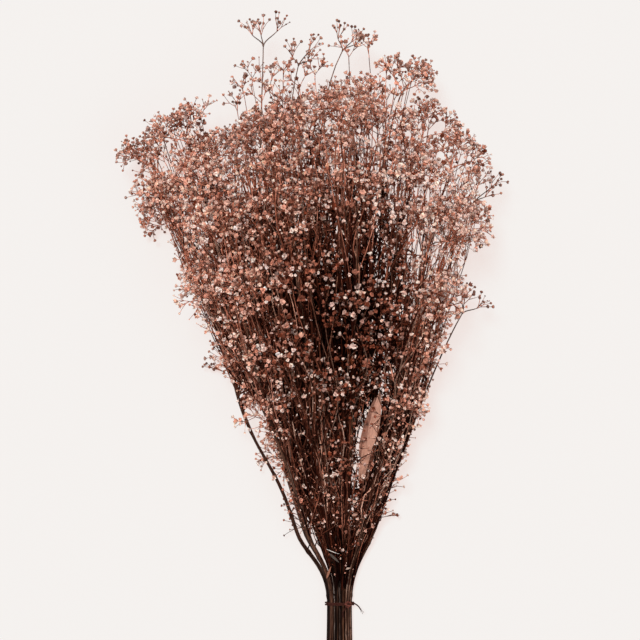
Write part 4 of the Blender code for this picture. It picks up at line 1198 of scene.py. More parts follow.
class Growth:
    """All that one stem carries, grown with its own random draws.

    tubes holds groups of paths, radii, sides and kind. Every floret has a place, an aim, a scale,
    how open it is, how grey it is, and whether it is tiny.
    """

    def __init__(self, stem):
        self.stem = stem
        self.rng = np.random.default_rng([SEED, stem.number])
        self.tubes = []
        self.florets = []
        for spray in stem.sprays:
            self.grow_spray(spray)
        self.grow_sprigs()
        self.grow_runners()
        self.grow_neck()
        self.grow_rim()
        self.grow_sides()
        self.grow_ground()
        columns = (np.concatenate(column) for column in zip(*self.florets))
        self.places, self.aims, self.scales, self.openings, self.grey, self.tiny = columns
        self.places[:, 2] = np.clip(self.places[:, 2], LOWEST_FLORET, HIGHEST_FLORET)

    def tube(self, paths, thick, thin, sides, kind):
        """Keeps tubes that thin out evenly along their paths, held off the floor and under the top."""
        if not len(paths):
            return
        paths[..., 2] = np.clip(paths[..., 2], LOWEST_TWIG, HIGHEST_FLORET)
        radii = np.linspace(thick, thin, paths.shape[1])[None, :].repeat(len(paths), axis=0)
        self.tubes.append((paths, radii, sides, kind))

    def rods(self, starts, ends, thick, thin, kind):
        """Keeps straight three-sided twigs from starts to ends."""
        self.tube(np.stack((starts, ends), axis=1), thick, thin, 3, kind)

    def bear(self, ends, aims, scale, opening, tiny_share, grey):
        """Keeps florets at the ends of pedicels, of which a share are tiny."""
        rng = self.rng
        count = len(ends)
        tiny = rng.uniform(0.0, 1.0, count) < tiny_share
        aims = unit(aims + rng.normal(0.0, 0.18, aims.shape))
        big = np.where(rng.uniform(0.0, 1.0, count) < BIG_FLORETS, BIG_SCALE, 1.0)
        low = 0.74 + 0.26 * rises(ends[:, 1], *FULL_SIZE_FROM)
        scales = rng.uniform(*FLORET_SCALES, count) * np.where(tiny, TINY_SCALE, big) * low * scale
        openings = np.clip(opening + rng.normal(0.0, 0.28, count), 0.0, 1.0)
        self.florets.append((ends, aims, scales, openings, np.full(count, grey), tiny))

    def grow_spray(self, spray):
        """A spray's bough, twigs, cymes and the strands that run up into it."""
        rng = self.rng
        hub, facing = row(spray.trunk[-1]), row(spray.facing)
        start, along = leaving(self.stem, [spray.leave])
        span = np.linalg.norm(hub - start)
        mixed = unit(BOUGH_START_ALONG_AXIS * along + (1.0 - BOUGH_START_ALONG_AXIS) * unit(hub - start))
        bough = hermite(start, mixed * span * BOUGH_START_PULL, hub, facing * span * BOUGH_END_PULL,
                        BOUGH_RINGS)
        sparse = spray.order in SPARSE_SPRAYS
        self.tube(bough, 0.92 * BOUGH_RADIUS, (0.55 if sparse else 0.72) * BOUGH_END_RADIUS, 6,
                  "bare" if sparse else "bough")
        form = "sparse" if sparse else "outline" if spray.order < OUTLINE_SPRAYS else "mass"
        levels, opening, narrow, forks, close = SPRAY_FORMS[form]
        roots = []
        aims = []
        for end, heading, florets in spray.twigs:
            end, heading = row(end), row(heading)
            length = np.linalg.norm(end - hub)
            twig = hermite(hub, facing * length * 0.8, end, heading * length, TWIG_RINGS)
            self.tube(twig, 0.72 * BOUGH_END_RADIUS, 0.50 * TWIG_RADIUS, 5, "bare" if sparse else "twig")
            for base, _aim, _pressed in florets:
                roots.append(end[0])
                aims.append(np.array(base) - end[0])
        aims = unit((1.0 - narrow) * unit(np.array(aims)) + narrow * facing)
        first = close * rng.uniform(*SPRAY_CYME_FOOT, len(roots))
        self.grow_cymes(np.array(roots), aims, first, levels, opening, forks, close, sparse)
        if sparse:
            return
        count = STRANDS_PER_SPRAY
        ends = np.array([twig[0] for twig in spray.twigs])[rng.integers(0, len(spray.twigs), count)]
        ends = hub + (ends - hub) * rng.uniform(0.2, 1.1, (count, 1)) + rng.normal(0.0, 0.006, (count, 3))
        ring = rng.integers(2, BOUGH_RINGS - 4, count)
        starts = bough[0, ring]
        along = unit(bough[0, ring + 1] - starts)
        self.spread_strands(starts, along, ends, facing.repeat(count, axis=0), 2, SPRAY_STRAND_RINGS)

    def grow_strands(self, leaves, ends, facings, levels, rings):
        """Thin strands from the axis to ends in the head; those of the outermost left stem leave it
        far out."""
        free = BARE_SIDE * rises(-self.stem.across, *BARE_SIDE_ACROSS)
        leaves = np.maximum(leaves, free * self.rng.uniform(0.9, 1.2, len(leaves)))
        starts, along = leaving(self.stem, np.minimum(leaves, 0.96 * self.stem.length))
        self.spread_strands(starts, along, ends, facings, levels, rings)

    def grow_towards(self, place, leaves, height, levels, rings=STRAND_RINGS, unsteady=0.0):
        """Strands to places across, in layer and out in the fan, that face away from a height over
        the apex, more or less."""
        ends = points_in_fan(*place)
        facings = from_apex(ends, height)
        if unsteady:
            facings = facings + self.rng.normal(0.0, unsteady, ends.shape)
        self.grow_strands(leaves, ends, unit(facings), levels, rings)

    def spread_strands(self, starts, along, ends, facings, levels, rings):
        """Strands from starts to ends that sway a little, with side twigs and a cyme if they have
        levels of forks and with bare twigs if they have none.

        Few are kept on the pale shoulder, and few of those that cross the parting.
        """
        rng = self.rng
        kept = rng.uniform(0.0, 1.0, len(ends)) > (0.66 if levels else 0.90) * on_shoulder(ends)
        if not kept.any():
            return
        starts, along, ends, facings = starts[kept], along[kept], ends[kept], facings[kept]
        span = np.linalg.norm(ends - starts, axis=1, keepdims=True)
        outward = 0.30 * unit(from_apex(ends, 0.5 * HEAD_HALF_THICKNESS)) + 0.25 * unit(facings)
        outward = unit(outward + 0.45 * unit(ends - starts) + rng.normal(0.0, 0.10, ends.shape))
        paths = hermite(starts, along * span * 1.1, ends, outward * span * 0.9, rings)
        wave = np.linspace(0.0, 1.0, rings)[None, :, None]
        sway = rng.normal(0.0, STRAND_SWAY, (len(paths), 1, 3)) * span[:, None]
        half_waves = rng.integers(1, 4, (len(paths), 1, 1))
        sway = sway * np.sin(np.pi * wave * half_waves + rng.uniform(0.0, 6.3, (len(paths), 1, 1)))
        paths = paths + sway * np.sin(np.pi * wave) * rises(paths[..., 1:2], -0.01, 0.10)
        paths = paths + (held_in(paths, STRAND_LIMIT) - paths) * np.minimum(12.0 * wave, 1.0)
        clear = ~crosses_parting(paths) | (rng.uniform(0.0, 1.0, len(paths)) < 0.10)
        paths, outward = paths[clear], outward[clear]
        ends = paths[:, -1]
        self.tube(paths, *(STRAND_RADII if levels else GROUND_RADII), STRAND_SIDES,
                  "strand" if levels else "ground")
        if not levels:
            self.grow_thicket(paths)
            return
        self.grow_bits(paths)
        first = rng.uniform(*STRAND_CYME_FOOT, len(paths))
        self.grow_cymes(ends, outward, first, levels, STRAND_OPENNESS, FORK_ANGLES, 1.0)

    def off_paths(self, paths, which, ring, lean, lengths):
        """Starts on paths at their rings, headings that lean off them any way, and ends."""
        rng = self.rng
        starts = paths[which, ring]
        along = unit(paths[which, ring + 1] - starts)
        away = unit(rng.normal(0.0, 1.0, along.shape))
        aims = unit(along + away * rng.uniform(*lean, (len(which), 1)))
        return starts, aims, starts + aims * rng.uniform(*lengths, (len(which), 1))

    def grow_bits(self, paths):
        """Short side twigs along strands, each with a tiny floret; few low down and low at the sides."""
        rng = self.rng
        count = int(BITS_PER_STRAND * len(paths))
        which = rng.integers(0, len(paths), count)
        ring = rng.integers(paths.shape[1] // 4, paths.shape[1] - 1, count)
        across, _layer, _distance = fan_places(paths[which, ring])
        out = paths[which, ring, 1]
        low = falls(out, *FEW_BITS_BELOW)
        side = rises(np.abs(across), *FEW_BITS_PAST) * falls(out, *FEW_SIDE_BITS_BELOW)
        kept = rng.uniform(0.0, 1.0, count) > np.maximum(0.58 * low, 0.75 * side)
        starts, aims, ends = self.off_paths(paths, which[kept], ring[kept], (0.4, 1.2), BIT_LENGTHS)
        self.rods(starts, ends, INTERNODE_RADIUS, FINE_PEDICEL_RADIUS, "twig")
        self.bear(ends, aims, 1.0, 0.6, 1.0, 0.0)

    def grow_thicket(self, paths):
        """Short bare twigs that leave the ground's strands any way, and fill the dark between them.

        Those whose middle lies in the parting are left out.
        """
        rng = self.rng
        count = int(THICKET_PER_STRAND * len(paths))
        which = rng.integers(0, len(paths), count)
        ring = rng.integers(paths.shape[1] // 3, paths.shape[1] - 1, count)
        starts, _aims, ends = self.off_paths(paths, which, ring, (0.5, 2.4), THICKET_LENGTHS)
        ends = held_in(ends, THICKET_LIMIT)
        ends[:, 2] = np.minimum(ends[:, 2], HIGHEST_THICKET)
        off, wide = off_parting(*across_and_distance(0.5 * (starts + ends)))
        clear = np.abs(off) > 0.9 * wide
        self.rods(starts[clear], ends[clear], *THICKET_RADII, "ground")

    def grow_sprigs(self):
        """Strands that end on their own between the sprays, and those to the tufts."""
        rng = self.rng
        stem = self.stem
        count = SPRIGS_PER_STEM
        across = folded(stem.across + rng.normal(0.0, SPRIG_ACROSS, count), 0.94)
        layer = np.clip(stem.layer + rng.normal(0.0, SPRIG_LAYER, count), -0.90, 0.92)
        low, high = SPRIG_DISTANCES
        distance = low + (high - low) * rng.uniform(0.0, 1.0, count) ** 1.05
        leaves = np.minimum(rng.uniform(*SPRIG_LEAVES, count), 0.55 * (distance - APEX_BEHIND_THREAD))
        self.grow_towards((across, layer, distance), leaves, 0.03, 2)
        for levels, tufts in ((3, HIGH_TUFTS), (2, LOW_TUFTS)):
            own = [place for place in tufts if nearest_stem(place) == stem.number]
            if own:
                ends = np.array(own)
                leaves = np.minimum(np.maximum(0.5 * ends[:, 1], ends[:, 1] - 0.14), 0.9 * stem.length)
                self.grow_strands(leaves, ends, unit(from_apex(ends, 0.02)), levels, TUFT_RINGS)

    def grow_runners(self):
        """Long strands that run over the head's top and underside, each to a small cyme."""
        rng = self.rng
        count = RUNNERS_PER_STEM
        across = folded(self.stem.across + rng.normal(0.0, 0.20, count), 0.90)
        layer = rng.uniform(0.62, 0.97, count) * np.where(rng.uniform(0.0, 1.0, count) < 0.72, 1.0, -0.9)
        distance = np.minimum(rng.uniform(0.20, 0.45, count), reach_across(across) - 0.03)
        self.grow_towards((across, layer, distance), rng.uniform(0.006, 0.05, count), 0.05, 1)

    def grow_neck(self):
        """Thin strands that come up from under the thread to small low cymes."""
        rng = self.rng
        count = NECK_PER_STEM
        across = folded(self.stem.across + rng.normal(0.0, 0.10, count), 0.85)
        layer = rng.uniform(0.2, 0.95, count)
        distance = rng.uniform(0.10, 0.24, count)
        leaves = rng.uniform(self.stem.cut_y + 0.001, 0.004, count)
        self.grow_towards((across, layer, distance), leaves, 0.03, 1, NECK_STRAND_RINGS)

    def grow_rim(self):
        """Strands to the head's rim, whose cymes blur its outline."""
        rng = self.rng
        count = RIM_PER_STEM
        across = folded(self.stem.across + rng.normal(0.0, 0.15, count), 0.95)
        distance = reach_across(across) - rng.uniform(0.014, 0.110, count)
        layer = rng.uniform(-0.70, 0.85, count)
        leaves = rng.uniform(0.35, 0.85, count) * np.minimum(
            self.stem.length, distance - APEX_BEHIND_THREAD)
        self.grow_towards((across, layer, distance), leaves, 0.05, 2, SHORT_STRAND_RINGS)

    def grow_sides(self):
        """Short strands that fray the lower sides of the head, on the outermost stems only."""
        rng = self.rng
        stem = self.stem
        if abs(stem.across) < SIDE_FROM:
            return
        count = SIDES_PER_STEM
        across = math.copysign(1.0, stem.across) * rng.uniform(*SIDE_ACROSS, count)
        sooner = RIGHT_SIDE_STARTS_SOONER if stem.across > 0.0 else 0.0
        distance = rng.uniform(SIDE_DISTANCES[0] - sooner, SIDE_DISTANCES[1], count)
        layer = rng.uniform(-0.6, 0.8, count)
        leaves = rng.uniform(0.35, 0.75, count) * (distance - APEX_BEHIND_THREAD)
        self.grow_towards((across, layer, distance), leaves, 0.05, 2, SHORT_STRAND_RINGS, 0.06)

    def grow_ground(self):
        """The bare dark strands and twigs that fill the inside of the head."""
        rng = self.rng
        count = GROUND_PER_STEM
        across = folded(0.60 * self.stem.across + rng.uniform(-0.42, 0.42, count), 0.68)
        layer = rng.uniform(-0.80, 0.30, count)
        distance = np.sqrt(rng.uniform(0.02, 0.455**2, count))
        leaves = np.minimum(rng.uniform(0.01, 0.20, count), 0.6 * (distance - APEX_BEHIND_THREAD))
        self.grow_towards((across, layer, distance), leaves, 0.04, 0, GROUND_RINGS, 0.10)

    def grow_cymes(self, roots, aims, first, levels, opening, forks, close, sparse=False):
        """Cymes that fork in two at each node, round a terminal floret, each fork square to the last.

        first is the length up to the first node and close the scale of the parts after it. In a
        sparse spray the florets are grey and few are tiny.
        """
        rng = self.rng
        tiny_share, grey = (TINY_IN_SPARSE, 1.0) if sparse else (TINY_FLORETS, 0.0)
        nodes = roots + aims * first[:, None]
        self.rods(roots, nodes, 0.58 * TWIG_RADIUS, INTERNODE_RADIUS, "twig")
        square = unit(np.cross(aims, unit(rng.normal(0.0, 1.0, aims.shape))))
        for level in range(levels + 1):
            last = level == levels
            pedicel = (LAST_PEDICEL if last else TERMINAL_PEDICEL) * close
            long = pedicel * rng.uniform(0.8, 1.3, (len(nodes), 1))
            bent = unit(aims + rng.normal(0.0, 0.16, aims.shape))
            ends = nodes + bent * long
            self.rods(nodes, ends, FINE_PEDICEL_RADIUS, FINE_PEDICEL_RADIUS, "pedicel")
            self.bear(ends, bent, 0.92 if last else 1.06, opening, tiny_share, grey)
            if last:
                return
            side = np.cross(square, aims)
            left, right = rng.uniform(*forks, (2, len(nodes), 1))
            turned = (aims * np.cos(left) + side * np.sin(left),
                      aims * np.cos(right) - side * np.sin(right))
            square = np.concatenate((side, side))
            starts = np.concatenate((nodes, nodes))
            aims = unit(np.concatenate(turned))
            square = unit(square - aims * (square * aims).sum(axis=1, keepdims=True))
            nodes = starts + aims * INTERNODES[level] * close * rng.uniform(0.75, 1.25, (len(starts), 1))
            self.rods(starts, nodes, INTERNODE_RADIUS, FINE_PEDICEL_RADIUS * 1.2, "twig")


def nearest_stem(place):
    """The number of the stem whose ray passes nearest a place."""
    across = math.atan2(place[0], place[1] + APEX_BEHIND_THREAD)
    return min(whole_bunch(), key=lambda stem: abs(FAN_MIDDLE + stem.across * FAN_HALF - across)
               + 0.02 * abs(stem.layer - 0.3)).number


@functools.lru_cache(maxsize=1)
def whole_bunch():
    """The stems of the bunch, laid out once."""
    return lay_out_bunch()


@functools.lru_cache(maxsize=None)
def growth_of(number):
    """What the stem of this number carries, grown once."""
    return Growth(whole_bunch()[number - 1])


@functools.lru_cache(maxsize=1)
def packed_shift():
    """The way from the bunch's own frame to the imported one, from two sides of the thread."""
    low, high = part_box("binding_thread")
    ring_half = 2.0 * STEM_SPACING + STEM_RADIUS + TOUCHING_GAP + (1.0 + RING_PROUD) * THREAD_RADIUS
    return Vector((low.x + ring_half, high.y - KNOT_TOP, 0.0))


def leaving(stem, outs):
    """Points of the axis at distances out, and the ways it runs on from them."""
    starts = np.array([stem.at(out) for out in outs])
    return starts, unit(np.array([stem.at(out + 0.01) for out in outs]) - starts)


def node_places(stem, rng):
    """Where the swollen nodes of an axis stand, as distances out."""
    places = []
    out = stem.cut_y + rng.uniform(*NODE_SPACING)
    while out < stem.length - NODE_HALF_LENGTH:
        places.append(out)
        out += rng.uniform(*NODE_SPACING)
    return np.array(places)


def add_axis(surface, stem, rng, tones):
    """The stem's axis: its radius tapers outward and swells at each node by a bell.

    Its tone has streaks along it, stains across it and dark nodes, and painted light where it stands alone
    at the side.
    """
    nodes = node_places(stem, rng)
    outs = [np.arange(stem.cut_y, stem.length, AXIS_STEP), [stem.length]]
    outs += [node + np.array(NODE_RINGS) for node in nodes]
    outs = np.unique(np.clip(np.concatenate(outs), stem.cut_y, stem.length).round(5))
    path = np.array([stem.at(out) for out in outs])
    share = np.clip(outs / stem.length, 0.0, 1.0)
    radii = stem.radius + (AXIS_TIP_RADIUS - stem.radius) * share
    bells = np.exp(-((outs[:, None] - nodes[None, :]) / NODE_HALF_LENGTH) ** 2).sum(axis=1)
    radii = radii * (0.94 + NODE_SWELL * bells * (0.55 + 0.45 * share))
    shades = tones * (1.0 - 0.35 * bells[None, :, None, None])
    streaks = rng.normal(0.0, 1.0, (1, 1, AXIS_SIDES, 1))
    streaks = streaks + rng.normal(0.0, 0.22, (1, len(outs), AXIS_SIDES, 1))
    stains = np.interp(outs, np.linspace(outs[0], outs[-1], 24), rng.normal(-0.25, 0.35, 24))
    shades = shades * shaded(np.exp(streaks + stains[None, :, None, None]), WOOD_LIGHT)
    # Painted light on an axis that stands alone at the side, out of the mass's shade
    alone = rises(abs(stem.across), *LONE_PAST) * rises(path[:, 1], *LONE_ABOVE)
    shades = shades + alone[None, :, None, None] * np.array(LONE_AXIS_LIGHT)
    add_tubes(surface, path[None], radii[None], AXIS_SIDES, shades)
    return nodes


def add_stubs(surface, stem, nodes, rng, tones):
    """Short broken twigs at some nodes of the axis."""
    near = nodes[(nodes > STUBS_BETWEEN[0]) & (nodes < STUBS_BETWEEN[1])]
    if not len(near):
        return
    starts, along = leaving(stem, near)
    square = unit(np.cross(along, rng.normal(0.0, 1.0, along.shape)))
    length = rng.uniform(*STUB_LENGTHS, (len(near), 1))
    lean = unit(along + square * rng.uniform(0.5, 1.0, (len(near), 1)))
    ends = starts + lean * length
    ends[:, 2] = np.maximum(ends[:, 2], LOWEST_TWIG)
    paths = hermite(starts, along * length, ends, lean * length, len(STUB_RADII))
    radii = np.array(STUB_RADII)[None].repeat(len(near), axis=0)
    add_tubes(surface, paths, radii, 5, np.broadcast_to(tones, paths.shape) * 0.9)


def shaded(light, powers):
    """What is left of red, green and blue at this much light: dim light between dyed twigs is redder.

    Each is the light to its own power below one, and to one nearer to one above it.
    """
    powers = np.array(powers)
    return np.minimum(light, 1.0) ** powers * np.maximum(light, 1.0) ** (1.0 + 0.45 * (powers - 1.0))


def wood_tones(growth, kind, paths, settings):
    """Tones of wood by path and ring: near black in the heart, browner towards the head's edge, with
    a few pale strands. The heart's dark is part dark colour, part painted shade; painted shade also falls
    deep in the heart, at the neck and high in the heart, with slow patches of painted light and shade."""
    rng = growth.rng
    count, rings = paths.shape[:2]
    out = paths[..., 1:2]
    heart, depth = (values.reshape(count, rings, 1) for values in heart_and_shade_depth(paths.reshape(-1, 3)))
    strand, twig, pale = (np.array(colour) for colour in (
        settings.strand_colour, settings.twig_colour, settings.pale_strand_colour))
    fine = kind in ("pedicel", "twig")
    if not fine:
        # Strands low down count as in the heart: darker in colour and in painted shade
        heart = np.maximum(heart, np.minimum(falls(out, *DARK_STRANDS_BELOW), 0.88))
    base = strand + (twig - strand) * (1.0 - heart) * (1.0 if fine else 0.62)
    mean, spread = (0.05, 0.35) if fine else (-0.29, 1.10)
    bright = rng.normal(mean, spread, (count, 1, 1)) * (0.35 + 0.65 * heart)
    base = base * shaded(np.minimum(np.exp(bright), BRIGHTEST_STRAND), WOOD_LIGHT)
    if kind == "bare":
        base = np.array(settings.bare_twig_colour) * rng.uniform(0.7, 1.3, (count, 1, 1))
    elif not fine:
        base = base * rng.uniform(0.65, 1.35, (count, rings, 1))
    is_pale = rng.uniform(0.0, 1.0, (count, 1, 1)) < PALE_STRANDS[kind]
    tones = np.where(is_pale, pale * rng.uniform(0.25, 1.1, (count, 1, 1)), base)
    wave = rng.uniform(3.0, 9.0, (count, 1, 1)) * np.linspace(0.0, 1.0, rings)[None, :, None]
    tones = tones * (1.0 + 0.45 * np.sin(wave + rng.uniform(0.0, 6.3, (count, 1, 1))))
    # Painted shade deep in the heart, at the neck and high in the heart, and slow patches of painted light
    # and shade
    light = (1.0 - 0.65 * heart * depth) * (1.0 - 0.82 * falls(out, *NECK_BELOW))
    light = light * (1.0 - 0.58 * heart * rises(out, *HIGH_FROM))
    light = light * np.exp(0.5 * patches(paths))[..., None]
    return tones * shaded(np.minimum(light, 1.1), WOOD_LIGHT)


def floret_tones(growth, settings):
    """One colour a floret: pale, middle or dark by chance and place, greyer on some of the rim's
    buds and on the sprays that stand apart, with painted shade in the heart and deep in the head,
    slow patches of painted light and shade, and a little more painted light low down."""
    rng = growth.rng
    places = growth.places
    heart, depth = heart_and_shade_depth(places)
    pale, middle, dark = (np.array(colour) for colour in (
        settings.pale_petal_colour, settings.petal_colour, settings.dark_petal_colour))
    count = len(places)
    chance = rng.uniform(0.0, 1.0, count)
    low = falls(places[:, 1], *LOW_BELOW)
    # More dark and fewer pale florets in the heart, part dark colour and part painted shade
    pale_share = 0.47 - 0.13 * heart + 0.46 * on_shoulder(places) + 0.04 * low
    dark_share = 0.09 + 0.39 * heart
    mix = np.where(chance < pale_share, 1.0, np.where(chance > 1.0 - dark_share, -1.0, 0.0))
    mix = np.clip(mix * rng.uniform(0.55, 1.0, count) + rng.normal(0.0, 0.14, count), -1.0, 1.0)[:, None]
    # Painted shade: the middle colour dimmed and reddened in the heart
    middle = middle * shaded(1.0 - 0.55 * heart[:, None], PETAL_LIGHT)
    tones = np.where(mix > 0.0, middle + (pale - middle) * mix, middle + (middle - dark) * mix)
    across, _layer, distance = fan_places(places)
    rim = np.clip((RIM_WITHIN - reach_across(across) + distance) / RIM_OVER, 0.0, 1.0)
    on_rim = rng.uniform(0.0, 1.0, count) < 0.38 * rim
    grey = np.maximum(growth.grey, on_rim)[:, None] * rng.uniform(0.45, 1.0, (count, 1))
    tones = tones + (np.array(settings.bud_colour) - tones) * grey
    bud = 1.0 - 0.30 * (1.0 - growth.openings)
    # Painted shade deep in the head, most in the heart; buds a little darker
    light = (1.0 - 0.88 * heart * depth) * (1.0 - (0.16 + 0.20 * heart) * depth) * bud
    warmth = rng.normal(0.0, 0.06, (count, 1)) * np.array([[0.4, -0.4, -1.0]])
    # Slow patches of painted light and shade, and a little more painted light low down
    light = light * np.exp((0.42 + 0.48 * heart) * patches(places)) * (1.0 + 0.16 * low)
    return tones * shaded(np.minimum(light, 1.06)[:, None], PETAL_LIGHT) * (1.0 + warmth)


def new_material(name, roughness):
    """A material with its Principled shader, and its node tree."""
    material = bpy.data.materials.new(name)
    material.use_nodes = True
    shader = material.node_tree.nodes["Principled BSDF"]
    set_inputs(shader, Roughness=roughness, Specular_IOR_Level=0.05)
    return material, material.node_tree, shader


def set_inputs(node, **values):
    """Sets a node's inputs by name, with spaces written as underscores."""
    for name, value in values.items():
        node.inputs[name.replace("_", " ")].default_value = value


def add_node(tree, kind, **settings):
    """A new node of a kind with these settings."""
    node = tree.nodes.new(kind)
    for name, value in settings.items():
        setattr(node, name, value)
    return node


def math_node(tree, operation, number, value):
    """A new Math node with one of its inputs set."""
    node = add_node(tree, "ShaderNodeMath", operation=operation)
    node.inputs[number].default_value = value
    return node


def join(tree, links):
    """Links nodes, each link given as a node, its output, another node and its input."""
    for source, output, target, entry in links:
        tree.links.new(source.outputs[output], target.inputs[entry])


def dry_grain_group():
    """The shared dry grain: noise drawn out by a stretch, as a shade round one and a height.

    Shade is one plus Depth times the noise less a half, held above a little; Height is finer noise.
    """
    name = "dry_grain"
    if name in bpy.data.node_groups:
        return bpy.data.node_groups[name]
    group = bpy.data.node_groups.new(name, "ShaderNodeTree")
    group.interface.new_socket("Vector", in_out="INPUT", socket_type="NodeSocketVector")
    for label, value in (("Scale", 300.0), ("Depth", 0.6)):
        socket = group.interface.new_socket(label, in_out="INPUT", socket_type="NodeSocketFloat")
        socket.default_value = value
    for label in ("Shade", "Height"):
        group.interface.new_socket(label, in_out="OUTPUT", socket_type="NodeSocketFloat")
    entry = add_node(group, "NodeGroupInput")
    leave = add_node(group, "NodeGroupOutput")
    coarse = add_node(group, "ShaderNodeTexNoise")
    set_inputs(coarse, Detail=3.0, Roughness=0.6)
    fine = add_node(group, "ShaderNodeTexNoise")
    set_inputs(fine, Detail=2.0, Roughness=0.7)
    finer = math_node(group, "MULTIPLY", 1, 2.7)
    centred = math_node(group, "SUBTRACT", 1, 0.5)
    deep = math_node(group, "MULTIPLY_ADD", 2, 1.0)
    least = math_node(group, "MAXIMUM", 1, 0.12)
    join(group, (
        (entry, "Vector", coarse, "Vector"), (entry, "Scale", coarse, "Scale"),
        (entry, "Scale", finer, 0), (entry, "Vector", fine, "Vector"), (finer, "Value", fine, "Scale"),
        (coarse, "Fac", centred, 0), (centred, "Value", deep, 0), (entry, "Depth", deep, 1),
        (deep, "Value", least, 0), (least, "Value", leave, "Shade"), (fine, "Fac", leave, "Height")))
    return group


def toned_material(name, roughness, stretch, scale, depth, bump, bump_distance):
    """A material that takes its colour from the piece's tones, shaded and raised by the dry grain.

    The grain reads Object coordinates times a stretch, small along the fibres, so it runs with them.
    """
    material, tree, shader = new_material(name, roughness)
    place = add_node(tree, "ShaderNodeTexCoord")
    mapping = add_node(tree, "ShaderNodeMapping")
    set_inputs(mapping, Scale=stretch)
    grain = add_node(tree, "ShaderNodeGroup", node_tree=dry_grain_group())
    set_inputs(grain, Scale=scale, Depth=depth)
    tone = add_node(tree, "ShaderNodeAttribute", attribute_name="tone")
    toned = add_node(tree, "ShaderNodeVectorMath", operation="SCALE")
    raised = add_node(tree, "ShaderNodeBump")
    set_inputs(raised, Strength=bump, Distance=bump_distance)
    join(tree, (
        (place, "Object", mapping, "Vector"), (mapping, "Vector", grain, "Vector"),
        (tone, "Color", toned, 0), (grain, "Shade", toned, "Scale"),
        (toned, "Vector", shader, "Base Color"), (grain, "Height", raised, "Height"),
        (raised, "Normal", shader, "Normal")))
    return material, shader


class BunchSettings(bpy.types.PropertyGroup):
    """Sizes and colours of the bunch."""

    floret_radius: FloatProperty(
        name="Floret Radius", description="Half the width of an open floret", default=0.0022,
        min=0.001, max=0.006, subtype="DISTANCE", unit="LENGTH")
    petal_colour: FloatVectorProperty(
        name="Petal", description="Colour of most florets", default=(0.97, 0.480, 0.362),
        min=0.0, max=1.0, size=3, subtype="COLOR")
    pale_petal_colour: FloatVectorProperty(
        name="Pale Petal", description="Colour of the palest florets", default=(1.0, 0.72, 0.64),
        min=0.0, max=1.0, size=3, subtype="COLOR")
    dark_petal_colour: FloatVectorProperty(
        name="Dark Petal", description="Colour of the darkest florets", default=(0.21, 0.054, 0.028),
        min=0.0, max=1.0, size=3, subtype="COLOR")
    strand_colour: FloatVectorProperty(
        name="Strand", description="Colour of boughs and strands", default=(0.032, 0.0062, 0.0022),
        min=0.0, max=1.0, size=3, subtype="COLOR")
    pale_strand_colour: FloatVectorProperty(
        name="Pale Strand", description="Colour of the few light strands", default=(0.50, 0.29, 0.22),
        min=0.0, max=1.0, size=3, subtype="COLOR")
    bare_twig_colour: FloatVectorProperty(
        name="Bare Twig", description="Colour of the boughs that stand apart",
        default=(0.150, 0.090, 0.072), min=0.0, max=1.0, size=3, subtype="COLOR")
    bud_colour: FloatVectorProperty(
        name="Bud", description="Colour of the buds that stand apart", default=(0.33, 0.190, 0.158),
        min=0.0, max=1.0, size=3, subtype="COLOR")
    twig_colour: FloatVectorProperty(
        name="Twig", description="Colour of twigs and pedicels", default=(0.500, 0.190, 0.124),
        min=0.0, max=1.0, size=3, subtype="COLOR")
    leaf_colour: FloatVectorProperty(
        name="Leaf", description="Colour of the dry leaves", default=(0.20, 0.13, 0.10),
        min=0.0, max=1.0, size=3, subtype="COLOR")
    thread_colour: FloatVectorProperty(
        name="Thread", description="Colour of the binding thread", default=(0.050, 0.016, 0.012),
        min=0.0, max=1.0, size=3, subtype="COLOR")
    # The floor's own colour is dim and cool; with its warm painted glow it reads pale where lit and warm in
    # shadow
    floor_colour: FloatVectorProperty(
        name="Floor", description="Colour of the floor", default=(0.0676, 0.1593, 0.1834),
        min=0.0, max=1.0, size=3, subtype="COLOR")
    # Painted glow: the floor lights itself though it is no lamp
    floor_painted_glow: FloatVectorProperty(
        name="Floor Glow", description="Light that comes up through the floor",
        default=(0.825, 0.684, 0.642), min=0.0, max=1.0, size=3, subtype="COLOR")
    light: FloatProperty(
        name="Light", description="Strength of the light from above", default=3.55, min=0.0, max=20.0)
    glow: FloatProperty(
        name="Glow", description="Strength of the light from all round", default=0.24, min=0.0, max=5.0)


def stand_for(item, *nodes):
    """Lets a piece ride on the bunch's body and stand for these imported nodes."""
    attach(item, "root")
    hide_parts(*nodes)


def node_name(stem):
    """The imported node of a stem."""
    return "stem_%02d" % stem.number


class BUNCH_OT_stems(bpy.types.Operator):
    """Builds the wood of every stem: axis, boughs, strands, twigs and pedicels"""

    bl_idname = "dried_bunch.stems"
    bl_label = "Stems"

    def execute(self, context):
        settings = context.scene.dried_bunch
        material, _shader = toned_material("dry_wood", 0.62, (1.0, 0.05, 1.0), 1300.0, 4.0, 0.5, 0.0004)
        for stem in whole_bunch():
            growth = growth_of(stem.number)
            rng = np.random.default_rng([SEED, stem.number, 1])
            surface = Surface()
            colour = np.array(AXIS_COLOURS[rng.integers(0, len(AXIS_COLOURS))])
            nodes = add_axis(surface, stem, rng, colour)
            add_stubs(surface, stem, nodes, rng, colour)
            for paths, radii, sides, kind in growth.tubes:
                add_tubes(surface, paths, radii, sides, wood_tones(growth, kind, paths, settings))
            item = surface.piece("wood_%02d" % stem.number, material, True)
            stand_for(item, node_name(stem))
        return {"FINISHED"}


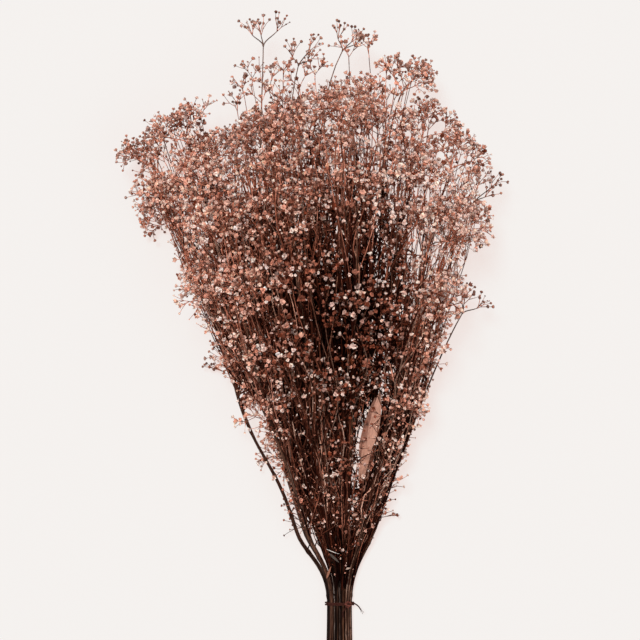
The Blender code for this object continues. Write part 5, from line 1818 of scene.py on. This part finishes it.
class BUNCH_OT_florets(bpy.types.Operator):
    """Builds the florets of every stem, from closed buds to open double florets"""

    bl_idname = "dried_bunch.florets"
    bl_label = "Florets"

    def execute(self, context):
        settings = context.scene.dried_bunch
        material, shader = toned_material("dry_petal", 0.78, (1.0, 1.0, 1.0), 900.0, 0.7, 0.6, 0.0005)
        set_inputs(shader, Specular_IOR_Level=0.03)
        for stem in whole_bunch():
            growth = growth_of(stem.number)
            rng = np.random.default_rng([SEED, stem.number, 2])
            surface = Surface()
            sizes = settings.floret_radius * growth.scales * (0.82 + 0.18 * growth.openings)
            tones = floret_tones(growth, settings)
            for some, sides in ((~growth.tiny, FLORET_SIDES), (growth.tiny, TINY_SIDES)):
                add_florets(surface, growth.places[some], growth.aims[some], sizes[some],
                            growth.openings[some], tones[some], sides, rng)
            item = surface.piece("florets_%02d" % stem.number, material, False)
            stand_for(item, node_name(stem))
        return {"FINISHED"}


def add_leaf(surface, start, heading, flat, length, half_width, tone, rng):
    """A dry leaf: a closed thin lens carried along its midrib, whose edges curl up and whose tip droops.

    At a share s of the length the half width is the leaf's own times sin(pi s^0.8) to the power 0.7;
    round the section an angle moves a point across by cos and up by thin sin plus curl times cos squared.
    """
    up = np.cross(flat, heading)
    s = np.linspace(0.0, 1.0, LEAF_RINGS)[:, None]
    width = half_width * np.maximum(np.sin(np.pi * s**0.8), 0.02) ** 0.7
    width[0], width[-1] = 0.16 * half_width, 0.06 * half_width
    curl, droop, sway = rng.uniform(0.25, 0.7), rng.uniform(0.06, 0.22), rng.uniform(-0.12, 0.12)
    middle = start + heading * length * s - up * droop * length * s**2 + flat * sway * length * s**2
    angle = 2.0 * np.pi * np.arange(LEAF_SIDES) / LEAF_SIDES
    out = width * np.cos(angle)
    thin = LEAF_THIN * np.minimum(width / half_width * 3.0, 1.0)
    rise = thin * np.sin(angle) + curl * width * np.cos(angle) ** 2
    skin = middle[:, None, :] + out[..., None] * flat + rise[..., None] * up
    points = np.concatenate((skin.reshape(1, -1, 3), middle[None, :1], middle[None, -1:]), axis=1)
    points[..., 2] = np.maximum(points[..., 2], LOWEST_LEAF)
    surface.add(points, np.ones(points.shape) * np.array(tone), ring_quads(LEAF_RINGS, LEAF_SIDES, False),
                closing_fans(LEAF_RINGS, LEAF_SIDES))


def at_layer(x, y, layer):
    """The place at a layer of the fan over or under a place in plan."""
    along = y + APEX_BEHIND_THREAD
    return in_fan((math.atan2(x, along) - FAN_MIDDLE) / FAN_HALF, layer, math.hypot(x, along))


class BUNCH_OT_leaves(bpy.types.Operator):
    """Builds the narrow dry leaves at the nodes of some stems"""

    bl_idname = "dried_bunch.leaves"
    bl_label = "Leaves"

    def execute(self, context):
        settings = context.scene.dried_bunch
        material, _shader = toned_material("dry_leaf", 0.72, (1.0, 0.2, 1.0), 700.0, 0.8, 0.5, 0.0004)
        for stem in whole_bunch():
            own = [leaf for leaf in NECK_LEAVES if nearest_stem(at_layer(*leaf[0])) == stem.number]
            if stem.leaf is None and not own:
                continue
            rng = np.random.default_rng([SEED, stem.number, 3])
            surface = Surface()
            if stem.leaf is not None:
                start, heading, flat = (np.array(vector) for vector in stem.leaf)
                add_leaf(surface, start, heading, flat, LEAF_LENGTH, 1.25 * LEAF_HALF_WIDTH,
                         np.array(settings.leaf_colour) * rng.uniform(0.6, 1.2), rng)
            for place, turn, length, half_width, colour in own:
                start = np.array(at_layer(*place))
                heading = unit(np.array([math.sin(turn), math.cos(turn), NECK_LEAF_RISE]))
                flat = unit(np.array([math.cos(turn), -math.sin(turn), 0.0]))
                add_leaf(surface, start, heading, flat, length, half_width, colour, rng)
            item = surface.piece("leaf_%02d" % stem.number, material, True)
            stand_for(item, node_name(stem))
        return {"FINISHED"}


def twisted(count, sides, radius, twists):
    """Radii of a two-ply thread: the radius swells twice round the section, and that turns along it."""
    along = np.arange(count)[:, None] / count
    angle = 2.0 * np.pi * np.arange(sides)[None, :] / sides
    return radius * (0.90 + 0.14 * np.cos(2.0 * angle - 2.0 * np.pi * twists * along))


def add_turns(surface, line, colour):
    """The thread's two turns side by side round the stems, each leaning a little along them."""
    phase = 2.0 * np.pi * np.arange(len(line)) / len(line)
    for side, lean in TURN_LEANS:
        path = line.copy()
        path[:, 1] += side * TURN_OFFSET + lean * np.sin(phase)
        radii = twisted(len(path), TURN_SIDES, TURN_RADIUS, TURN_TWISTS)
        add_rings(surface, path, radii, TURN_SIDES, colour)


def add_loop(surface, middle, half_sizes, facing, lift, tone):
    """One loop of the knot: an oval square to its facing, lifted and lowered twice on its way round."""
    facing = np.array(facing) / np.linalg.norm(facing)
    first = unit(np.cross(facing, (0.0, 1.0, 0.0)))
    second = np.cross(facing, first)
    turn = 2.0 * np.pi * np.arange(LOOP_STEPS)[:, None] / LOOP_STEPS
    path = (middle + half_sizes[0] * np.cos(turn) * first + half_sizes[1] * np.sin(turn) * second
            + lift * 0.004 * np.sin(2.0 * turn) * facing)
    radii = twisted(LOOP_STEPS, LOOP_SIDES, KNOT_THREAD_RADIUS, LOOP_TWISTS)
    add_rings(surface, path, radii, LOOP_SIDES, tone)


def add_tail(surface, points, colour, rng):
    """A tail of the thread through points, with its end frayed into a few hairs."""
    path = through(points, 8, False)
    radii = np.linspace(*TAIL_RADII, len(path))[None]
    add_tubes(surface, path[None], radii, TAIL_SIDES, np.broadcast_to(0.8 * colour, path[None].shape))
    heading = unit(path[-1] - path[-2])
    spread = heading + rng.normal(0.0, 0.45, (FRAYS, 3))
    ends = path[-1] + spread * rng.uniform(*FRAY_LENGTHS, (FRAYS, 1))
    leaving_by = (heading * 0.002)[None].repeat(FRAYS, axis=0)
    hairs = hermite(path[-2:-1].repeat(FRAYS, axis=0), leaving_by, ends,
                    rng.normal(0.0, 0.001, (FRAYS, 3)), 5)
    add_tubes(surface, hairs, np.full(hairs.shape[:2], FRAY_RADIUS), 4,
              np.broadcast_to(colour, hairs.shape))


class BUNCH_OT_thread(bpy.types.Operator):
    """Builds the binding thread: two twisted turns, a tangled knot and two frayed tails"""

    bl_idname = "dried_bunch.thread"
    bl_label = "Binding Thread"

    def execute(self, context):
        rng = np.random.default_rng([SEED, 99])
        material, _shader = toned_material("thread_fibre", 0.85, (1.0, 1.0, 1.0), 2600.0, 1.1, 0.7, 0.0003)
        colour = np.array(context.scene.dried_bunch.thread_colour)
        route = thread_route(whole_bunch())
        turns = Surface()
        add_turns(turns, through(route, 12, True), colour)
        stand_for(turns.piece("thread_turns", material, True), "binding_thread")

        crossing = max(route, key=lambda point: point.z + KNOT_LEAN * point.x)
        knot = Surface()
        for middle, half_sizes, facing, lift in KNOT_LOOPS:
            add_loop(knot, np.array(crossing) + middle, half_sizes, facing, lift,
                     colour * rng.uniform(2.0, 3.6))
        for tail in KNOT_TAILS:
            add_tail(knot, [crossing + Vector(step) for step in tail], colour, rng)
        stand_for(knot.piece("thread_knot", material, True), "binding_thread")
        return {"FINISHED"}


def add_floor(settings):
    """The pale floor, with a painted glow of its own that keeps shadows on it pale and warm, and a trace of
    unevenness in its colour.
    """
    mesh = bpy.data.meshes.new("floor")
    corners = [(x * FLOOR_HALF, y * FLOOR_HALF, 0.0) for x, y in ((-1, -1), (1, -1), (1, 1), (-1, 1))]
    mesh.from_pydata(corners, [], [(0, 1, 2, 3)])
    floor = bpy.data.objects.new("floor", mesh)
    bpy.context.scene.collection.objects.link(floor)
    material, tree, shader = new_material("floor_paper", 0.9)
    # Painted glow: emission on the floor washes out and warms the shadows on it
    set_inputs(shader, Specular_IOR_Level=0.0, Emission_Color=tuple(settings.floor_painted_glow) + (1.0,),
               Emission_Strength=1.0)
    noise = add_node(tree, "ShaderNodeTexNoise")
    set_inputs(noise, Scale=3.0, Detail=3.0)
    mix = add_node(tree, "ShaderNodeMix", data_type="RGBA")
    colour = tuple(settings.floor_colour)
    set_inputs(mix, A=tuple(0.99 * value for value in colour) + (1.0,), B=colour + (1.0,))
    place = add_node(tree, "ShaderNodeTexCoord")
    join(tree, ((place, "Object", noise, "Vector"), (noise, "Fac", mix, "Factor"),
                (mix, "Result", shader, "Base Color")))
    mesh.materials.append(material)


def set_room(glow):
    """Soft light from all round, with a pale background behind everything."""
    world = bpy.data.worlds.new("soft_room")
    bpy.context.scene.world = world
    world.use_nodes = True
    tree = world.node_tree
    sky = tree.nodes["Background"]
    set_inputs(sky, Color=(1.0, 0.985, 0.97, 1.0), Strength=glow)
    seen = add_node(tree, "ShaderNodeBackground")
    set_inputs(seen, Color=(0.90, 0.87, 0.845, 1.0))
    ray = add_node(tree, "ShaderNodeLightPath")
    blend = add_node(tree, "ShaderNodeMixShader")
    join(tree, ((ray, "Is Camera Ray", blend, "Fac"), (sky, "Background", blend, 1),
                (seen, "Background", blend, 2), (blend, "Shader", tree.nodes["World Output"], "Surface")))


def add_lamp(name, middle, place, strength, angle):
    """A soft sun that shines from a place towards the view's middle."""
    lamp = bpy.data.lights.new(name, "SUN")
    lamp.energy = strength
    lamp.angle = angle
    lamp.color = (1.0, 0.95, 0.905)
    item = bpy.data.objects.new(name, lamp)
    item.location = middle + Vector(place)
    item.rotation_mode = "QUATERNION"
    item.rotation_quaternion = Vector(place).to_track_quat("Z", "Y")
    bpy.context.scene.collection.objects.link(item)


def add_camera(middle):
    """The camera, which looks straight down at the view's middle."""
    camera = bpy.data.cameras.new("camera")
    camera.sensor_width = SENSOR
    camera.lens = SENSOR * (CAMERA_HEIGHT - VIEW_PLANE_HEIGHT) / VIEW_WIDTH
    item = bpy.data.objects.new("camera", camera)
    item.location = (middle.x, middle.y, CAMERA_HEIGHT)
    bpy.context.scene.collection.objects.link(item)
    bpy.context.scene.camera = item


class BUNCH_OT_stage(bpy.types.Operator):
    """Lays the pale floor, and sets the soft light and the camera that looks straight down"""

    bl_idname = "dried_bunch.stage"
    bl_label = "Stage"

    def execute(self, context):
        settings = context.scene.dried_bunch
        add_floor(settings)
        set_room(settings.glow)
        middle = Vector((VIEW_MIDDLE[0], VIEW_MIDDLE[1], 0.0)) + packed_shift()
        for name, place, share, angle in LAMPS:
            add_lamp(name, middle, place, share * settings.light, angle)
        add_camera(middle)
        context.scene.view_settings.view_transform = "Standard"
        return {"FINISHED"}


class BUNCH_PT_panel(bpy.types.Panel):
    """The sidebar panel with the settings and the pieces"""

    bl_label = "Dried Bunch"
    bl_idname = "BUNCH_PT_panel"
    bl_space_type = "VIEW_3D"
    bl_region_type = "UI"
    bl_category = "Dried Bunch"

    def draw(self, context):
        layout = self.layout
        settings = context.scene.dried_bunch
        for name in BunchSettings.__annotations__:
            layout.prop(settings, name)
        for operator in OPERATORS:
            layout.operator(operator.bl_idname)


OPERATORS = (BUNCH_OT_stems, BUNCH_OT_florets, BUNCH_OT_leaves, BUNCH_OT_thread, BUNCH_OT_stage)
CLASSES = (BunchSettings,) + OPERATORS + (BUNCH_PT_panel,)


def register():
    """Registers the classes and the settings."""
    for item in CLASSES:
        bpy.utils.register_class(item)
    bpy.types.Scene.dried_bunch = PointerProperty(type=BunchSettings)


def unregister():
    """Removes the settings and the classes."""
    del bpy.types.Scene.dried_bunch
    for item in reversed(CLASSES):
        bpy.utils.unregister_class(item)


def main():
    """Builds every piece and the stage."""
    register()
    bpy.ops.dried_bunch.stems()
    bpy.ops.dried_bunch.florets()
    bpy.ops.dried_bunch.leaves()
    bpy.ops.dried_bunch.thread()
    bpy.ops.dried_bunch.stage()


if __name__ == "__main__":
    main()
